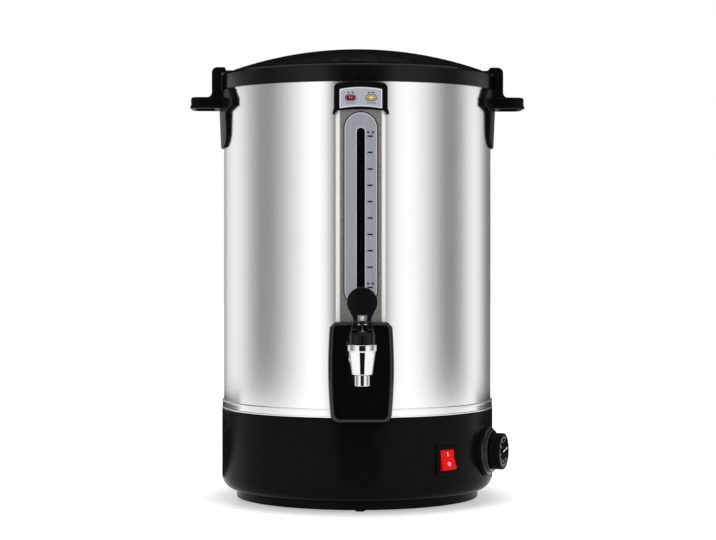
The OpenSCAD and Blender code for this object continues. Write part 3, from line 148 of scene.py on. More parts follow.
# %% [markdown]
# The studio
#
# A polished cylinder shows the room as upright bands, so the room is part of the finish. A round
# wall stands about the urn, outside the picture, and glows with a brightness that changes around it:
# wide light bands to the left and right of the camera, darker ones at the sides, and a dark gap
# behind the camera, which gives chrome its black middle stripe. Only reflections see this wall.
# Above it hangs dark cloth at the back, so the black lid stays black, and two dark sheets on the
# floor, also for mirrors only, keep its white out of the black base. Soft lamps light everything that
# isn't a mirror. The surroundings and the floor are plain white, and lit at a plain level, so a
# colour looks about as it is written.

# %% A plain white world
AMBIENT, WHITE = 0.6, (1, 1, 1, 1)

world = bpy.data.worlds.new("studio")
scene.world = world
world.use_nodes = True
air = world.node_tree
air.nodes.clear()
lit, shown = (add_step(air, "Background", ("Color", WHITE), ("Strength", strength)) for strength in (AMBIENT, 1.0))
sky = add_step(air, "MixShader", ("Fac", shown_rays(air)), (1, lit), (2, shown))
add_step(air, "OutputWorld", ("Surface", sky))
print("world: ambient", AMBIENT)


# %% Things of the studio, and soft lamps
def stage_mesh(name, points, faces):
    """A mesh in metres that belongs to the studio and not to the urn, and its material's steps."""
    mesh = bpy.data.meshes.new(name)
    mesh.from_pydata(points, [], faces)
    thing = bpy.data.objects.new(name, mesh)
    scene.collection.objects.link(thing)
    paint = bpy.data.materials.new(name)
    paint.use_nodes = True
    mesh.materials.append(paint)
    return thing, paint.node_tree


def matt(tree, shade):
    """A matt grey that reflects nothing."""
    return fill(tree.nodes["Principled BSDF"], ("Base Color", (shade, shade, shade, 1)), ("Roughness", 0.9),
                ("Specular IOR Level", 0.0))


def stage_card(name, corners, height, shade):
    """A flat matt card through its corners, which lie at one height, and its material's steps."""
    card, tree = stage_mesh(name, [(x, y, height) for x, y in corners], [tuple(range(len(corners)))])
    matt(tree, shade)
    return card, tree


def only_for_mirrors(thing):
    """Hide a part of the studio from everything but reflections."""
    thing.visible_camera = thing.visible_diffuse = thing.visible_shadow = thing.visible_transmission = False


def soft_lamp(name, place, aim, size, radiance):
    """A rectangular lamp whose face glows with the given radiance: power = radiance x pi x area."""
    lamp = bpy.data.lights.new(name, "AREA")
    lamp.shape = "RECTANGLE"
    lamp.size, lamp.size_y = size
    lamp.energy = radiance * math.pi * size[0] * size[1]
    post = bpy.data.objects.new(name, lamp)
    post.location = place
    post.rotation_euler = (Vector(aim) - Vector(place)).to_track_quat("-Z", "Y").to_euler()
    post.visible_camera = post.visible_glossy = False
    scene.collection.objects.link(post)


LAMP_REACH, LAMP_HEIGHT = 1.7, 0.80
for name, turn in (("lamp_left", math.radians(-48)), ("lamp_right", math.radians(50))):
    soft_lamp(name, (LAMP_REACH * math.sin(turn), -LAMP_REACH * math.cos(turn), LAMP_HEIGHT), (0, 0, 0.45),
              (1.20, 1.60), 1.35)
soft_lamp("lamp_top", (0, 0.1, 1.9), (0, 0, 0.3), (1.4, 1.4), 0.8)

# %% A wall of light that only mirrors see
WALL_REACH, WALL_HEIGHT, BACK_LEVEL, CLOTH_HEIGHT = 1.35, 1.1, 0.53, 1.5
WALL_PEAK, DARK = 1.5, 0.01


def round_wall(name, reach, low, high, first, last, count=180):
    """Part of an upright cylinder: x = reach * sin(turn), y = -reach * cos(turn), faces inward."""
    turn = np.radians(np.linspace(first, last, count))
    foot = np.stack([reach * np.sin(turn), -reach * np.cos(turn), np.full(count, low)], axis=1)
    points = np.concatenate([foot, foot + (0, 0, high - low)])
    here = np.arange(count - 1)
    faces = np.stack([here + 1, here, count + here, count + here + 1], axis=1)
    wall, tree = stage_mesh(name, points.tolist(), faces.tolist())
    only_for_mirrors(wall)
    return tree


# radiance of the wall by its angle from the camera, in degrees, left (negative) to right
BRIGHT_BY_TURN = [(-180, 0.38), (-155, 0.43), (-144, 0.87), (-132, 1.10), (-121, 1.16), (-110, 0.95), (-98, 0.58),
                  (-87, 0.34), (-75, 0.37), (-64, 0.63), (-53, 0.99), (-41, 1.39), (-30, 1.47), (-23, 1.00),
                  (-19, 0.02), (19, 0.02), (23, 0.85), (28, 1.25), (38, 1.43), (47, 1.29), (57, 0.96), (67, 0.58),
                  (76, 0.31), (86, 0.33), (96, 0.65), (105, 1.08), (115, 1.21), (125, 0.88), (135, 0.39),
                  (144, 0.22)]
bands = round_wall("light_wall", WALL_REACH, 0.0, WALL_HEIGHT, -180, 180)
bands.nodes.clear()
spot = add_step(bands, "SeparateXYZ", (0, position(bands))).outputs
forward = add_step(bands, "Math", (0, spot["Y"]), (1, -1.0), operation="MULTIPLY")
turned_by = add_step(bands, "Math", (0, spot["X"]), (1, forward), operation="ARCTAN2")
ramp = add_step(bands, "ValToRGB", ("Fac", ranged(bands, turned_by, 0.0, 1.0, -math.pi, math.pi)))
stops = ramp.color_ramp.elements
stops.remove(stops[1])
for turn, bright in BRIGHT_BY_TURN:
    stop = stops[0] if turn == -180 else stops.new((turn + 180) / 360)
    stop.color = (bright / WALL_PEAK,) * 3 + (1,)
shine = add_step(bands, "Emission", ("Color", ramp), ("Strength", WALL_PEAK))
add_step(bands, "OutputMaterial", ("Surface", shine))
matt(round_wall("dark_cloth", WALL_REACH - 0.05, BACK_LEVEL, CLOTH_HEIGHT, 105, 255), DARK)
RUNNER = [(-0.95, -2.4), (0.95, -2.4), (0.05, -0.30), (-0.05, -0.30)]
APRON = [(0.13, 0.09), (1.2, 0.55), (1.2, 1.3), (-1.2, 1.3), (-1.2, 0.55), (-0.13, 0.09)]
for name, corners, height in (("dark_runner", RUNNER, 0.002), ("dark_apron", APRON, 0.003)):
    only_for_mirrors(stage_card(name, corners, height, DARK)[0])
print("stops in the wall of light:", len(stops))

# %% [markdown]
# The floor
#
# The picture's floor is white with a faint grey mirror image of the base just in front of it. The
# floor is therefore a blend: a white diffuse sheet that keeps the urn's soft shadow, lifted to white
# for the camera by a little glow, and a thin polish that fades away from the urn.

# %% White floor with a fading polish
FLOOR_LIFT, POLISH, POLISH_START, POLISH_END = 0.70, 0.40, 0.135, 0.175
_, ground = stage_card("floor", [(-6, -6), (6, -6), (6, 6), (-6, 6)], 0, 0.8)
lift = add_step(ground, "Math", (0, shown_rays(ground)), (1, FLOOR_LIFT), operation="MULTIPLY")
glow = add_step(ground, "Emission", ("Strength", lift))
both = add_step(ground, "AddShader", (0, ground.nodes["Principled BSDF"]), (1, glow))
away = add_step(ground, "VectorMath", (0, position(ground)), operation="LENGTH").outputs["Value"]
fade = ranged(ground, away, POLISH, 0.0, POLISH_START, POLISH_END)
gleam = add_step(ground, "BsdfGlossy", ("Roughness", 0.12))
polished = add_step(ground, "MixShader", ("Fac", fade), (1, both), (2, gleam))
fill(ground.nodes["Material Output"], ("Surface", polished))
print("floor polish fades out at", POLISH_END, "m")

# %% [markdown]
# Sizes in millimetres
#
# The construction says where everything is, so no size is guessed twice: each piece below reads the
# box of the part that it stands for. All shapes are worked out in millimetres, as a workshop would
# write them, and are turned into metres only when a mesh is made.

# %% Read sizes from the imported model
def span(node):
    """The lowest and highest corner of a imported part, in millimetres."""
    low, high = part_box(node)
    return 1000 * np.array(low), 1000 * np.array(high)


def reaches(node):
    """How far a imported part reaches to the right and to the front, and its lowest and highest level."""
    low, high = span(node)
    return high[0], -low[1], low[2], high[2]


SHELL_R, _, shell_low, shell_high = reaches("outer_shell")
ON_SHELL = SHELL_R + 0.1
print("shell radius", round(SHELL_R, 2), "from", round(shell_low, 1), "to", round(shell_high, 1))

# %% [markdown]
# Shapes from grids
#
# Nearly every surface on an urn is either turned on a lathe, or pressed or moulded from a flat
# outline. Both are grids of points: a row is a closed ring, and the rows follow a profile. A turned
# piece carries a profile around the axis. A plate carries an outline through its thickness, and
# draws it in along a quarter circle at the edges, which is the soft edge that catches the light.


# %% Rings, rows and faces
def loft(rings, flat_ends=False):
    """A skin over a stack of rings: an array of rows x points x 3 becomes points and a list of faces.

    With flat_ends, the first and last ring are each closed by one flat face.
    """
    rings = np.asarray(rings, dtype=float)
    rows, columns = rings.shape[:2]
    row, column = np.meshgrid(np.arange(rows - 1), np.arange(columns), indexing="ij")
    here, beside = row * columns + column, row * columns + (column + 1) % columns
    faces = np.stack([here, beside, beside + columns, here + columns], axis=-1).reshape(-1, 4).tolist()
    if flat_ends:
        faces += [list(range(columns)), list(range((rows - 1) * columns, rows * columns))]
    return rings.reshape(-1, 3), faces


def full_turn(count, first=0.0):
    """So many angles that share a full turn."""
    return np.linspace(0, 2 * np.pi, count, endpoint=False) - first


def turned(profile, count, axis=(0.0, 0.0)):
    """A profile of (radius, height) carried around an upright axis.

    x = axis + radius * sin(angle), y = axis - radius * cos(angle), z = height.
    """
    profile = np.asarray(profile, dtype=float)
    angle = full_turn(count)
    radius, height = profile[:, :1], profile[:, 1:]
    x, y = axis[0] + radius * np.sin(angle), axis[1] - radius * np.cos(angle)
    return loft(np.stack([x, y, height + 0 * angle], axis=-1))


def as_arrays(corners, radii):
    """Corners as an array of points, with a radius for each."""
    corners = np.asarray(corners, dtype=float)
    return corners, np.broadcast_to(np.asarray(radii, dtype=float), len(corners))


def rounded(corners, radii, steps=5):
    """Points along a closed outline whose corners are replaced by arcs.

    An arc of radius r leaves each side at r / tan(h) from the corner, where h is half the angle
    between the sides, and its centre is r / sin(h) away along the line that halves that angle.
    """
    corners, radii = as_arrays(corners, radii)
    back, ahead = np.roll(corners, 1, axis=0) - corners, np.roll(corners, -1, axis=0) - corners
    back, ahead = (side / np.linalg.norm(side, axis=1, keepdims=True) for side in (back, ahead))
    half = 0.5 * np.arccos(np.clip((back * ahead).sum(axis=1), -0.999999, 0.999999))[:, None]
    reach, middle = radii[:, None] / np.tan(half), back + ahead
    centre = corners + middle / np.maximum(np.linalg.norm(middle, axis=1, keepdims=True), 1e-9) \
        * radii[:, None] / np.sin(half)
    start, end = corners + back * reach - centre, corners + ahead * reach - centre
    sweep = np.maximum(np.pi - 2 * half, 1e-6)[:, :, None]
    share = np.linspace(0, 1, steps + 1)[None, :, None]
    arc = (np.sin((1 - share) * sweep) * start[:, None] + np.sin(share * sweep) * end[:, None]) / np.sin(sweep)
    points = centre[:, None] + arc
    points[radii < 1e-6] = corners[radii < 1e-6][:, None]
    return points.reshape(-1, 2)


def closed_section(corners, radii, steps):
    """A section whose last point is its first, ready to be turned into a closed ring."""
    points = rounded(corners, radii, steps)
    return np.vstack([points, points[:1]])


def drawn_in(corners, radii, inset, steps=5):
    """The same outline, moved in by a distance: its sides stay parallel and its arcs concentric."""
    corners, radii = as_arrays(corners, radii)
    ahead = np.roll(corners, -1, axis=0) - corners
    ahead /= np.linalg.norm(ahead, axis=1, keepdims=True)
    back = np.roll(ahead, 1, axis=0)
    turn_sign = np.sign((corners * (np.roll(corners, -1, axis=0)[:, ::-1] * (1, -1))).sum())
    left, left_back = (np.stack([-d[:, 1], d[:, 0]], axis=1) * turn_sign for d in (ahead, back))
    mitre = (left + left_back) / (1 + (left * left_back).sum(axis=1, keepdims=True))
    hollow = (back[:, 0] * ahead[:, 1] - back[:, 1] * ahead[:, 0]) * turn_sign < 0
    return rounded(corners + inset * mitre, np.maximum(radii + np.where(hollow, inset, -inset), 0), steps)


# %% Outlines that can be moved in
def box_of(low_u, low_v, high_u, high_v):
    """The corners of an upright box, anticlockwise from its lower left."""
    return [(low_u, low_v), (high_u, low_v), (high_u, high_v), (low_u, high_v)]


def on_circle(angles, radius=1.0, centre=(0.0, 0.0)):
    """Points on a circle, at angles that run anticlockwise from its right."""
    return np.asarray(centre) + radius * np.stack([np.cos(angles), np.sin(angles)], axis=1)


def outline(corners, radii, steps=5):
    """A function that gives an outline with rounded corners, moved in by whatever it is asked."""
    return lambda inset: drawn_in(corners, radii, inset, steps)


def round_outline(radius, count=64, centre=(0.0, 0.0)):
    """A function that gives a circle, moved in by whatever it is asked."""
    return lambda inset: on_circle(full_turn(count), max(radius - inset, 0.01), centre)


def block_outline(half_u, half_v, radius, middle=(0.0, 0.0), steps=5):
    """An upright box outline with rounded corners around its middle."""
    u, v = middle
    return outline(box_of(u - half_u, v - half_v, u + half_u, v + half_v), radius, steps)


def upright_outline(half_u, low, high, radius, steps=16):
    """An upright box outline between two levels, such as a slot with round ends."""
    return block_outline(half_u, 0.5 * (high - low), radius, (0, 0.5 * (high + low)), steps)


def filled(corners, radii, step=8.0):
    """Corners and radii with plain points put into the long sides, so that a side can follow a curved face."""
    corners, radii = as_arrays(corners, radii)
    points, rounds = [], []
    for here, there, radius, next_radius in zip(corners, np.roll(corners, -1, axis=0), radii, np.roll(radii, -1)):
        length = np.linalg.norm(there - here)
        marks = np.arange(radius + 2, length - next_radius - 2, step)
        points += [here] + [here + (there - here) * mark / length for mark in marks]
        rounds += [radius] + [0.0] * len(marks)
    return np.array(points), rounds


# %% Plates and blocks
def height_at(level, flat):
    """A face's height over its outline: one number, or a function of the outline's points."""
    return level(flat) if callable(level) else np.full(len(flat), float(level))


def raised_to(flat, level, lift=0.0):
    """A flat ring's points (u, v), raised to a face's height and a lift more."""
    return np.column_stack([flat, height_at(level, flat) + lift])


def soft_edge(shape, level, soft, side, steps=4):
    """The rings of one edge of a plate, from its wall to its face.

    At angle a the outline is moved in by soft * (1 - cos a) and lies soft * (1 - sin a) under the face.
    side is 1 for the front face and -1 for the back.
    """
    return [raised_to(shape(soft * (1 - math.cos(angle))), level, -side * soft * (1 - math.sin(angle)))
            for angle in (np.linspace(0, np.pi / 2, steps + 1) if soft > 0 else [np.pi / 2])]


def middle_of(flat):
    """The middle of the box around flat points."""
    return 0.5 * (flat.min(axis=0) + flat.max(axis=0))


def closing(ring, rows):
    """Smaller and smaller copies of a ring towards its middle, each with its share of the way."""
    rim = ring[:, :2]
    return [(share, rim + (middle_of(rim) - rim) * share) for share in np.linspace(0, 1, rows + 1)[1:]]


def plate(shape, low, high, edge=0.6, back_edge=0.0, steps=4, cap_rows=0, dish=None):
    """A closed plate with soft edges, as points (u, v, w) with w along its thickness.

    shape(inset) gives the outline moved in by inset. The faces are flat, or with cap_rows they are
    rings that close towards the middle, so that a face can follow a curve or be dished.
    """
    back, front = soft_edge(shape, low, back_edge, -1, steps), soft_edge(shape, high, edge, 1, steps)
    if cap_rows:
        back += [raised_to(flat, low) for _, flat in closing(back[-1], cap_rows)]
        front += [raised_to(flat, high, dish(share) if dish else 0.0)
                  for share, flat in closing(front[-1], cap_rows)]
    return loft(back[::-1] + front, flat_ends=cap_rows == 0)


def frame_plate(shape, hole, low, high, edge=0.6, hole_edge=0.2, steps=4):
    """A plate with a hole: rings run up the outer wall, over the face, down the hole and back underneath.

    shape and hole have as many points as each other, so each ring of one meets a ring of the other.
    """
    front, inner = soft_edge(shape, high, edge, 1, steps), soft_edge(lambda d: hole(-d), high, hole_edge, 1, steps)
    rows = front + inner[::-1] + [raised_to(hole(0), low), raised_to(shape(0), low)]
    return loft(rows + rows[:1])


def tray(shape, low, high, edge, wall, steps=6, cap_rows=6):
    """A plate hollowed from behind: an outer skin, and an inner one that lies wall inside it."""
    rows = []
    for depth, soft in ((0.0, edge), (wall, max(edge - wall, 0.2))):
        skin = soft_edge(lambda d: shape(depth + d), lambda flat: height_at(high, flat) - depth, soft, 1, steps)
        cap = [raised_to(flat, high, -depth) for _, flat in closing(skin[-1], cap_rows)]
        rows.append([raised_to(shape(depth), low)] + skin + cap)
    return loft(rows[0][::-1] + rows[1])


# %% Put shapes in their place
def outward(shape, turn=0.0, level=0.0):
    """Stand a shape on the urn: u runs to its right, v up and w outward, seen from angle turn.

    At turn 0 that is the front, where x = u, y = -w and z = v + level.
    """
    points, faces = shape
    u, v, w = points.T
    x, y = u * math.cos(turn) + w * math.sin(turn), u * math.sin(turn) - w * math.cos(turn)
    return np.stack([x, y, v + level], axis=1), faces


def turned_out(profile, turn, level, count=96):
    """A profile of (radius, distance out) carried around an axis that points outward at an angle."""
    return outward(turned(profile, count), turn, level)


def facing(shape, order=(0, 1, 2), signs=(1, 1, 1)):
    """The same shape with its coordinates in another order, and some of them the other way round."""
    return shape[0][:, list(order)] * signs, shape[1]


IN_PLAN = {"signs": (1, -1, 1)}
SIDE_VIEW = {"order": (2, 0, 1), "signs": (1, -1, 1)}
LEFT_FOR_RIGHT = {"signs": (-1, 1, 1)}
HALF_TURN = {"signs": (-1, -1, 1)}
FINISH = {}


def build(name, shapes, stands_for=(), slot=None, body=None, sharp=38.0, finish=None):
    """One object made of closed shapes in millimetres, in its finish, riding on its body."""
    starts = np.cumsum([0] + [len(points) for points, _ in shapes])
    vertices = np.concatenate([points for points, _ in shapes]) / 1000
    faces = [[start + corner for corner in face] for start, (_, sides) in zip(starts, shapes) for face in sides]
    mesh = bpy.data.meshes.new(name)
    mesh.from_pydata(vertices.tolist(), [], faces)
    solid = bmesh.new()
    solid.from_mesh(mesh)
    bmesh.ops.remove_doubles(solid, verts=solid.verts, dist=2e-6)
    bmesh.ops.recalc_face_normals(solid, faces=solid.faces)
    solid.to_mesh(mesh)
    solid.free()
    mesh.shade_smooth()
    mesh.set_sharp_from_angle(angle=math.radians(sharp))
    piece = bpy.data.objects.new(name, mesh)
    scene.collection.objects.link(piece)
    piece.modifiers.new("even", "WEIGHTED_NORMAL").keep_sharp = True
    slot = slot or slot_of[stands_for[0]]
    mesh.materials.append(FINISH[finish or slot])
    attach(piece, body or nodes[stands_for[0]]["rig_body"])
    if stands_for:
        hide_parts(*stands_for)
    print(name, len(mesh.polygons), "faces, in", slot)

# %% [markdown]
# Finishes
#
# No real surface has one flat colour. Brushing leaves fine streaks along one direction, moulded
# plastic has a faint ripple and a dull film from handling, castings are rough, and enamel is
# speckled. Each finish here varies its colour, its gloss and its height with noise that has the real
# grain's size in millimetres. The noise reads object coordinates, and since every piece keeps its
# place in its mesh, the grain runs on from piece to piece.


# %% A finish with grain
def noise_of(tree, size, stretch=(1, 1, 1), detail=3.0):
    """Noise whose grains measure size millimetres, longer along an axis whose stretch is small."""
    scaled = add_step(tree, "Mapping", ("Vector", position(tree)), ("Scale", [1000 * s / size for s in stretch]))
    return add_step(tree, "TexNoise", ("Vector", scaled), ("Scale", 1.0), ("Detail", detail))


def scaled_colour(tree, colour, by):
    """A colour made lighter or darker by a factor."""
    return add_step(tree, "VectorMath", (0, colour), ("Scale", by), operation="SCALE")


def surface(slot, colour, rough, metallic=0.0, specular=0.5, size=1.0, stretch=(1, 1, 1), tone=0.05, gloss=0.04,
            relief=0.004, wear=25.0, film=0.03, coat=0.0):
    """A material whose grain varies its tone, gloss and height, and whose slow wear varies its gloss.

    tone and gloss are how far the grain moves them either way, relief is the grain's height in
    millimetres, and film is how much duller the slow patches of size wear are.
    """
    paint = bpy.data.materials.new(slot)
    paint.use_nodes = True
    tree = paint.node_tree
    grain, patches = noise_of(tree, size, stretch), noise_of(tree, wear, detail=2.0)
    tinted = scaled_colour(tree, colour, ranged(tree, grain, 1 - tone, 1 + tone))
    dull = add_step(tree, "Math", (0, ranged(tree, grain, rough - gloss, rough + gloss)),
                    (1, ranged(tree, patches, 0.0, film, 0.4, 0.75)), operation="ADD")
    bumps = add_step(tree, "Bump", ("Height", grain), ("Distance", relief / 1000), ("Strength", 1.0))
    FINISH[slot] = paint
    return tree, fill(tree.nodes["Principled BSDF"], ("Metallic", metallic), ("Specular IOR Level", specular),
                      ("Coat Weight", coat), ("Base Color", tinted), ("Roughness", dull), ("Normal", bumps))


# %% [markdown]
# Metals
#
# The shell is sheet steel, brushed along its height before it was rolled, so reflections smear
# sideways and stay sharp up and down. The tap is chromed brass and stays a mirror. Screws and the
# spring are zinc-plated, fittings are turned, and the heater plate is cast.

# %% Metal finishes
UPRIGHT_GRAIN, SIDE_BLUR = (1, 1, 0.012), 0.55
tree, shader = surface("brushed_stainless", (0.74, 0.74, 0.745), 0.17, metallic=1.0, size=0.30,
                       stretch=UPRIGHT_GRAIN, tone=0.022, gloss=0.02, relief=0.0003, wear=60.0, film=0.015)
around = add_step(tree, "Tangent", direction_type="RADIAL", axis="Z")
fill(shader, ("Anisotropic", SIDE_BLUR), ("Tangent", around))
surface("chrome_plate", (0.66, 0.66, 0.675), 0.045, metallic=1.0, size=6.0, tone=0.01, gloss=0.012, relief=0.010,
        wear=14.0, film=0.03)
surface("zinc_steel", (0.60, 0.60, 0.62), 0.34, metallic=1.0, size=0.6, tone=0.10, gloss=0.10, relief=0.006)
surface("stainless_fitting", (0.62, 0.62, 0.63), 0.24, metallic=1.0, size=0.25, stretch=(1, 0.06, 1), tone=0.06,
        gloss=0.08, relief=0.003)
surface("brass_fitting", (0.72, 0.55, 0.25), 0.28, metallic=1.0, size=0.4, tone=0.08, gloss=0.10)
surface("copper_bulb", (0.72, 0.42, 0.26), 0.32, metallic=1.0, size=1.2, tone=0.12, gloss=0.12, relief=0.006)
surface("cast_aluminium", (0.62, 0.62, 0.63), 0.50, metallic=1.0, size=0.8, tone=0.12, gloss=0.12, relief=0.05)
surface("element_sheath", (0.22, 0.21, 0.20), 0.45, metallic=1.0, size=3.0, tone=0.30, gloss=0.12, relief=0.02)
print("metals:", len(FINISH))

# %% [markdown]
# Plastics and rubber
#
# The base, rim, lid, handles and guard are black moulded plastic that polished steel moulds leave
# glossy, with a very faint ripple. Its own reflection is weak, so its lights stay grey. Handled
# pieces, such as the tap's lever, have a fine matt texture. Silicone is milky and feet are dull.

# %% Plastic and rubber finishes
RIPPLE = {"size": 9.0, "tone": 0.10, "wear": 18.0}
NEAR_BLACK = (0.0045, 0.0045, 0.005)
surface("black_plastic", NEAR_BLACK, 0.19, specular=0.03, gloss=0.03, relief=0.020, film=0.06, **RIPPLE)
surface("satin_black", NEAR_BLACK, 0.18, specular=0.14, gloss=0.03, relief=0.015, film=0.05, **RIPPLE)
surface("gloss_black", (0.003, 0.003, 0.0035), 0.09, specular=0.36, gloss=0.02, relief=0.012, film=0.03, **RIPPLE)
surface("matt_black_plastic", (0.005, 0.005, 0.006), 0.26, specular=0.16, size=0.35, tone=0.15, gloss=0.06,
        relief=0.010)
surface("moulded_phenolic", (0.70, 0.66, 0.55), 0.45, size=0.9, tone=0.06, gloss=0.06, relief=0.008)
surface("white_plastic", (0.84, 0.84, 0.81), 0.42, size=0.8, tone=0.03, gloss=0.05, relief=0.006)
surface("red_rocker", (0.90, 0.004, 0.004), 0.26, specular=0.12, size=3.0, relief=0.006)
surface("red_button", (0.60, 0.02, 0.02), 0.40, size=0.5, tone=0.06, gloss=0.05, relief=0.006)
surface("seat_rubber", (0.78, 0.77, 0.72), 0.48, gloss=0.06, relief=0.010)
surface("foot_rubber", (0.018, 0.018, 0.018), 0.62, specular=0.3, size=0.5, tone=0.20, gloss=0.08, relief=0.020)
surface("wire_insulation", (0.42, 0.03, 0.03), 0.46, size=0.5, tone=0.08, gloss=0.06, relief=0.010)
print("with plastics and rubber:", len(FINISH))

# %% [markdown]
# Enamel, print and clear parts
#
# The gauge's channel is a grey metallic enamel with a fine speckle, and a cream highlight is painted along its
# folds.
# Its scale is a printed satin sheet. The lamps' lenses are tinted and their faces are clear, so light
# goes in and comes back coloured. The sight tube is plain glass, and it looks dark because of the
# trough behind it. Inks are thin, and so are the lamps' glints, highlights painted onto the lenses,
# so their grain is fine.

# %% Enamel, with a highlight painted along the folds
FLECK_SIZE, FLECK_RANGE, FOLD_PLACE, FOLD_HIGHLIGHT_CREAM = 0.55, (0.72, 1.32), (0.0192, 0.0204), (0.95, 0.935, 0.88)
GREY_ROUGH, GREY_METAL, FOLD_HIGHLIGHT_ROUGH = 0.30, 0.75, 0.24
tree, shader = surface("grey_enamel", (0.56, 0.56, 0.52), GREY_ROUGH, metallic=GREY_METAL, specular=0.4, size=2.2,
                       relief=0.012, gloss=0.05, film=0.04)
flecks = add_step(tree, "TexVoronoi", ("Scale", 1000 / FLECK_SIZE), ("Vector", position(tree)), feature="F1")
fleck = add_step(tree, "SeparateColor", ("Color", flecks.outputs["Color"]))
light = ranged(tree, fleck, *FLECK_RANGE, 0.1, 0.9)
flecked = scaled_colour(tree, shader.inputs["Base Color"].links[0].from_socket, light)
bright = scaled_colour(tree, FOLD_HIGHLIGHT_CREAM, ranged(tree, light, 0.96, 1.0, *FLECK_RANGE))
# Painted highlight: where |x| reaches the folds, the grey metallic enamel turns to a matt cream that stands for the
# folds' shine.
apart = add_step(tree, "Math", (0, add_step(tree, "SeparateXYZ", (0, position(tree)))), operation="ABSOLUTE")
painted_fold_highlight = ranged(tree, apart, 0.0, 1.0, *FOLD_PLACE)
mixed = add_step(tree, "Mix", (0, painted_fold_highlight), (6, flecked), (7, bright), data_type="RGBA")
fill(shader, ("Base Color", mixed.outputs[2]), ("Metallic", ranged(tree, painted_fold_highlight, GREY_METAL, 0.0, 0.0, 1.0)),
     ("Roughness", ranged(tree, painted_fold_highlight, GREY_ROUGH, FOLD_HIGHLIGHT_ROUGH, 0.0, 1.0)))

# %% Print, lenses and glass
surface("printed_blue", (0.44, 0.455, 0.52), 0.34, specular=0.40, size=0.5, tone=0.03, gloss=0.03, relief=0.002)
surface("scale_print", (0.335, 0.35, 0.385), 0.30, specular=0.45, size=1.2, stretch=(1, 1, 0.04), tone=0.07,
        relief=0.003)
# This dark ink also paints the shade along the scale plate's edge.
surface("dark_ink_and_edge_shade", (0.012, 0.014, 0.022), 0.40, specular=0.1, size=0.4, tone=0.15, gloss=0.05, relief=0.002)
surface("pale_ink", (0.78, 0.80, 0.80), 0.40, size=0.4, tone=0.04, gloss=0.05, relief=0.002)
# Colours of the highlights painted on the lamps' lenses.
for glint, colour in (("pale_glint", (0.88, 0.82, 0.60)), ("pink_glint", (0.62, 0.22, 0.24))):
    surface(glint, colour, 0.25, size=0.4, tone=0.03, gloss=0.03, relief=0.002)
for lens, colour in (("red_lens", (0.17, 0.004, 0.008)), ("amber_lens", (0.46, 0.40, 0.05))):
    tree, shader = surface(lens, colour, 0.16, size=1.1, tone=0.12, relief=0.006, coat=0.5)
    fill(shader, ("Transmission Weight", 0.10), ("Coat Roughness", 0.05))
tree, shader = surface("gauge_glass", (0.40, 0.43, 0.44), 0.02, size=12.0, tone=0.01, gloss=0.01, film=0.01)
fill(shader, ("Transmission Weight", 1.0), ("IOR", 1.15))
print("finishes made:", len(FINISH), "and missing:", sorted(set(slot_of.values()) - set(FINISH)))

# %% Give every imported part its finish
for name, node in nodes.items():
    node.data.materials.clear()
    node.data.materials.append(FINISH["satin_black" if name == "rim_ring" else slot_of[name]])

# %% [markdown]
# The base
#
# The base is one injection moulding: an upright wall that turns in on a wide radius to the foot
# ring, with a ledge inside its top for the shell to stand on. Its section is drawn once and turned.
# Three flat pads stand on the wall, because a knob, a button and an inlet need a flat to clamp on.

# %% Turn the base and set its pads
BASE_R, _, BASE_LOW, BASE_TOP = reaches("base_housing")
BASE_CORNER, BASE_WALL, LEDGE_R = 14.0, 2.5, BASE_R - 24.0
KNOB_TURN, KNOB_LEVEL, KNOB_PAD_LEVEL = math.radians(68.2), 51.0, 50.5
RESET_TURN, INLET_TURN, INLET_LEVEL = math.radians(145), math.radians(180), 48.0
PAD_BACK, KNOB_PAD, SMALL_PAD = BASE_R - 4.5, BASE_R + 1.4, BASE_R + 0.6
floor_high, wall_in, ledge_low = BASE_LOW + BASE_WALL, BASE_R - BASE_WALL, BASE_TOP - BASE_WALL
base_section = closed_section(
    [(LEDGE_R, BASE_TOP), (BASE_R, BASE_TOP), (BASE_R, BASE_LOW), (LEDGE_R, BASE_LOW), (LEDGE_R, floor_high),
     (wall_in, floor_high), (wall_in, ledge_low), (LEDGE_R, ledge_low)],
    [0.4, 0.9, BASE_CORNER, 0.4, 0.4, BASE_CORNER - BASE_WALL, 0.6, 0.4], steps=12)
knob_pad = outward(plate(round_outline(25, 96), PAD_BACK - 4, KNOB_PAD, edge=0.7), KNOB_TURN, KNOB_PAD_LEVEL)
reset_pad = outward(plate(round_outline(11, 64), PAD_BACK, SMALL_PAD, edge=0.5), RESET_TURN, INLET_LEVEL)
inlet_pad = outward(plate(block_outline(28, 14, 2.5), PAD_BACK, SMALL_PAD, edge=0.5), INLET_TURN, INLET_LEVEL)
build("base_skin", [turned(base_section, 256), knob_pad, reset_pad, inlet_pad], ["base_housing"])

# %% [markdown]
# The trim band
#
# Where the shell meets the base, a narrow steel band covers the joint. Its two edges are rolled into
# beads, which stiffen it and give the two bright lines round the urn.

# %% Roll the trim band
BAND_R, _, BAND_LOW, BAND_HIGH = reaches("trim_band")
BEAD_R, BAND_DEPTH = 0.95, 0.6
bead_middle = BAND_R - BEAD_R
half_turn = np.linspace(-np.pi / 2, np.pi / 2, 9)
low_bead = on_circle(half_turn, BEAD_R, (bead_middle, BAND_LOW + BEAD_R))
high_bead = low_bead + (0, BAND_HIGH - BAND_LOW - 2 * BEAD_R)
flat_step = [(BAND_R - BAND_DEPTH, low_bead[-1, 1] - 0.2), (BAND_R - BAND_DEPTH, high_bead[0, 1] + 0.2)]
band_section = np.vstack([low_bead[:-1], flat_step, high_bead[1:], [(SHELL_R + 0.05, BAND_HIGH - 0.3)],
                          [(SHELL_R + 0.05, BAND_LOW)], low_bead[:1]])
build("trim_band_rolled", [turned(band_section, 256)], ["trim_band"], sharp=50)

# %% [markdown]
# Feet
#
# The urn stands on four soft feet, plugs pressed into the bottom cover, and only their lower ends
# show. They are moulded with a rounded foot and a small hollow underneath that grips the table.

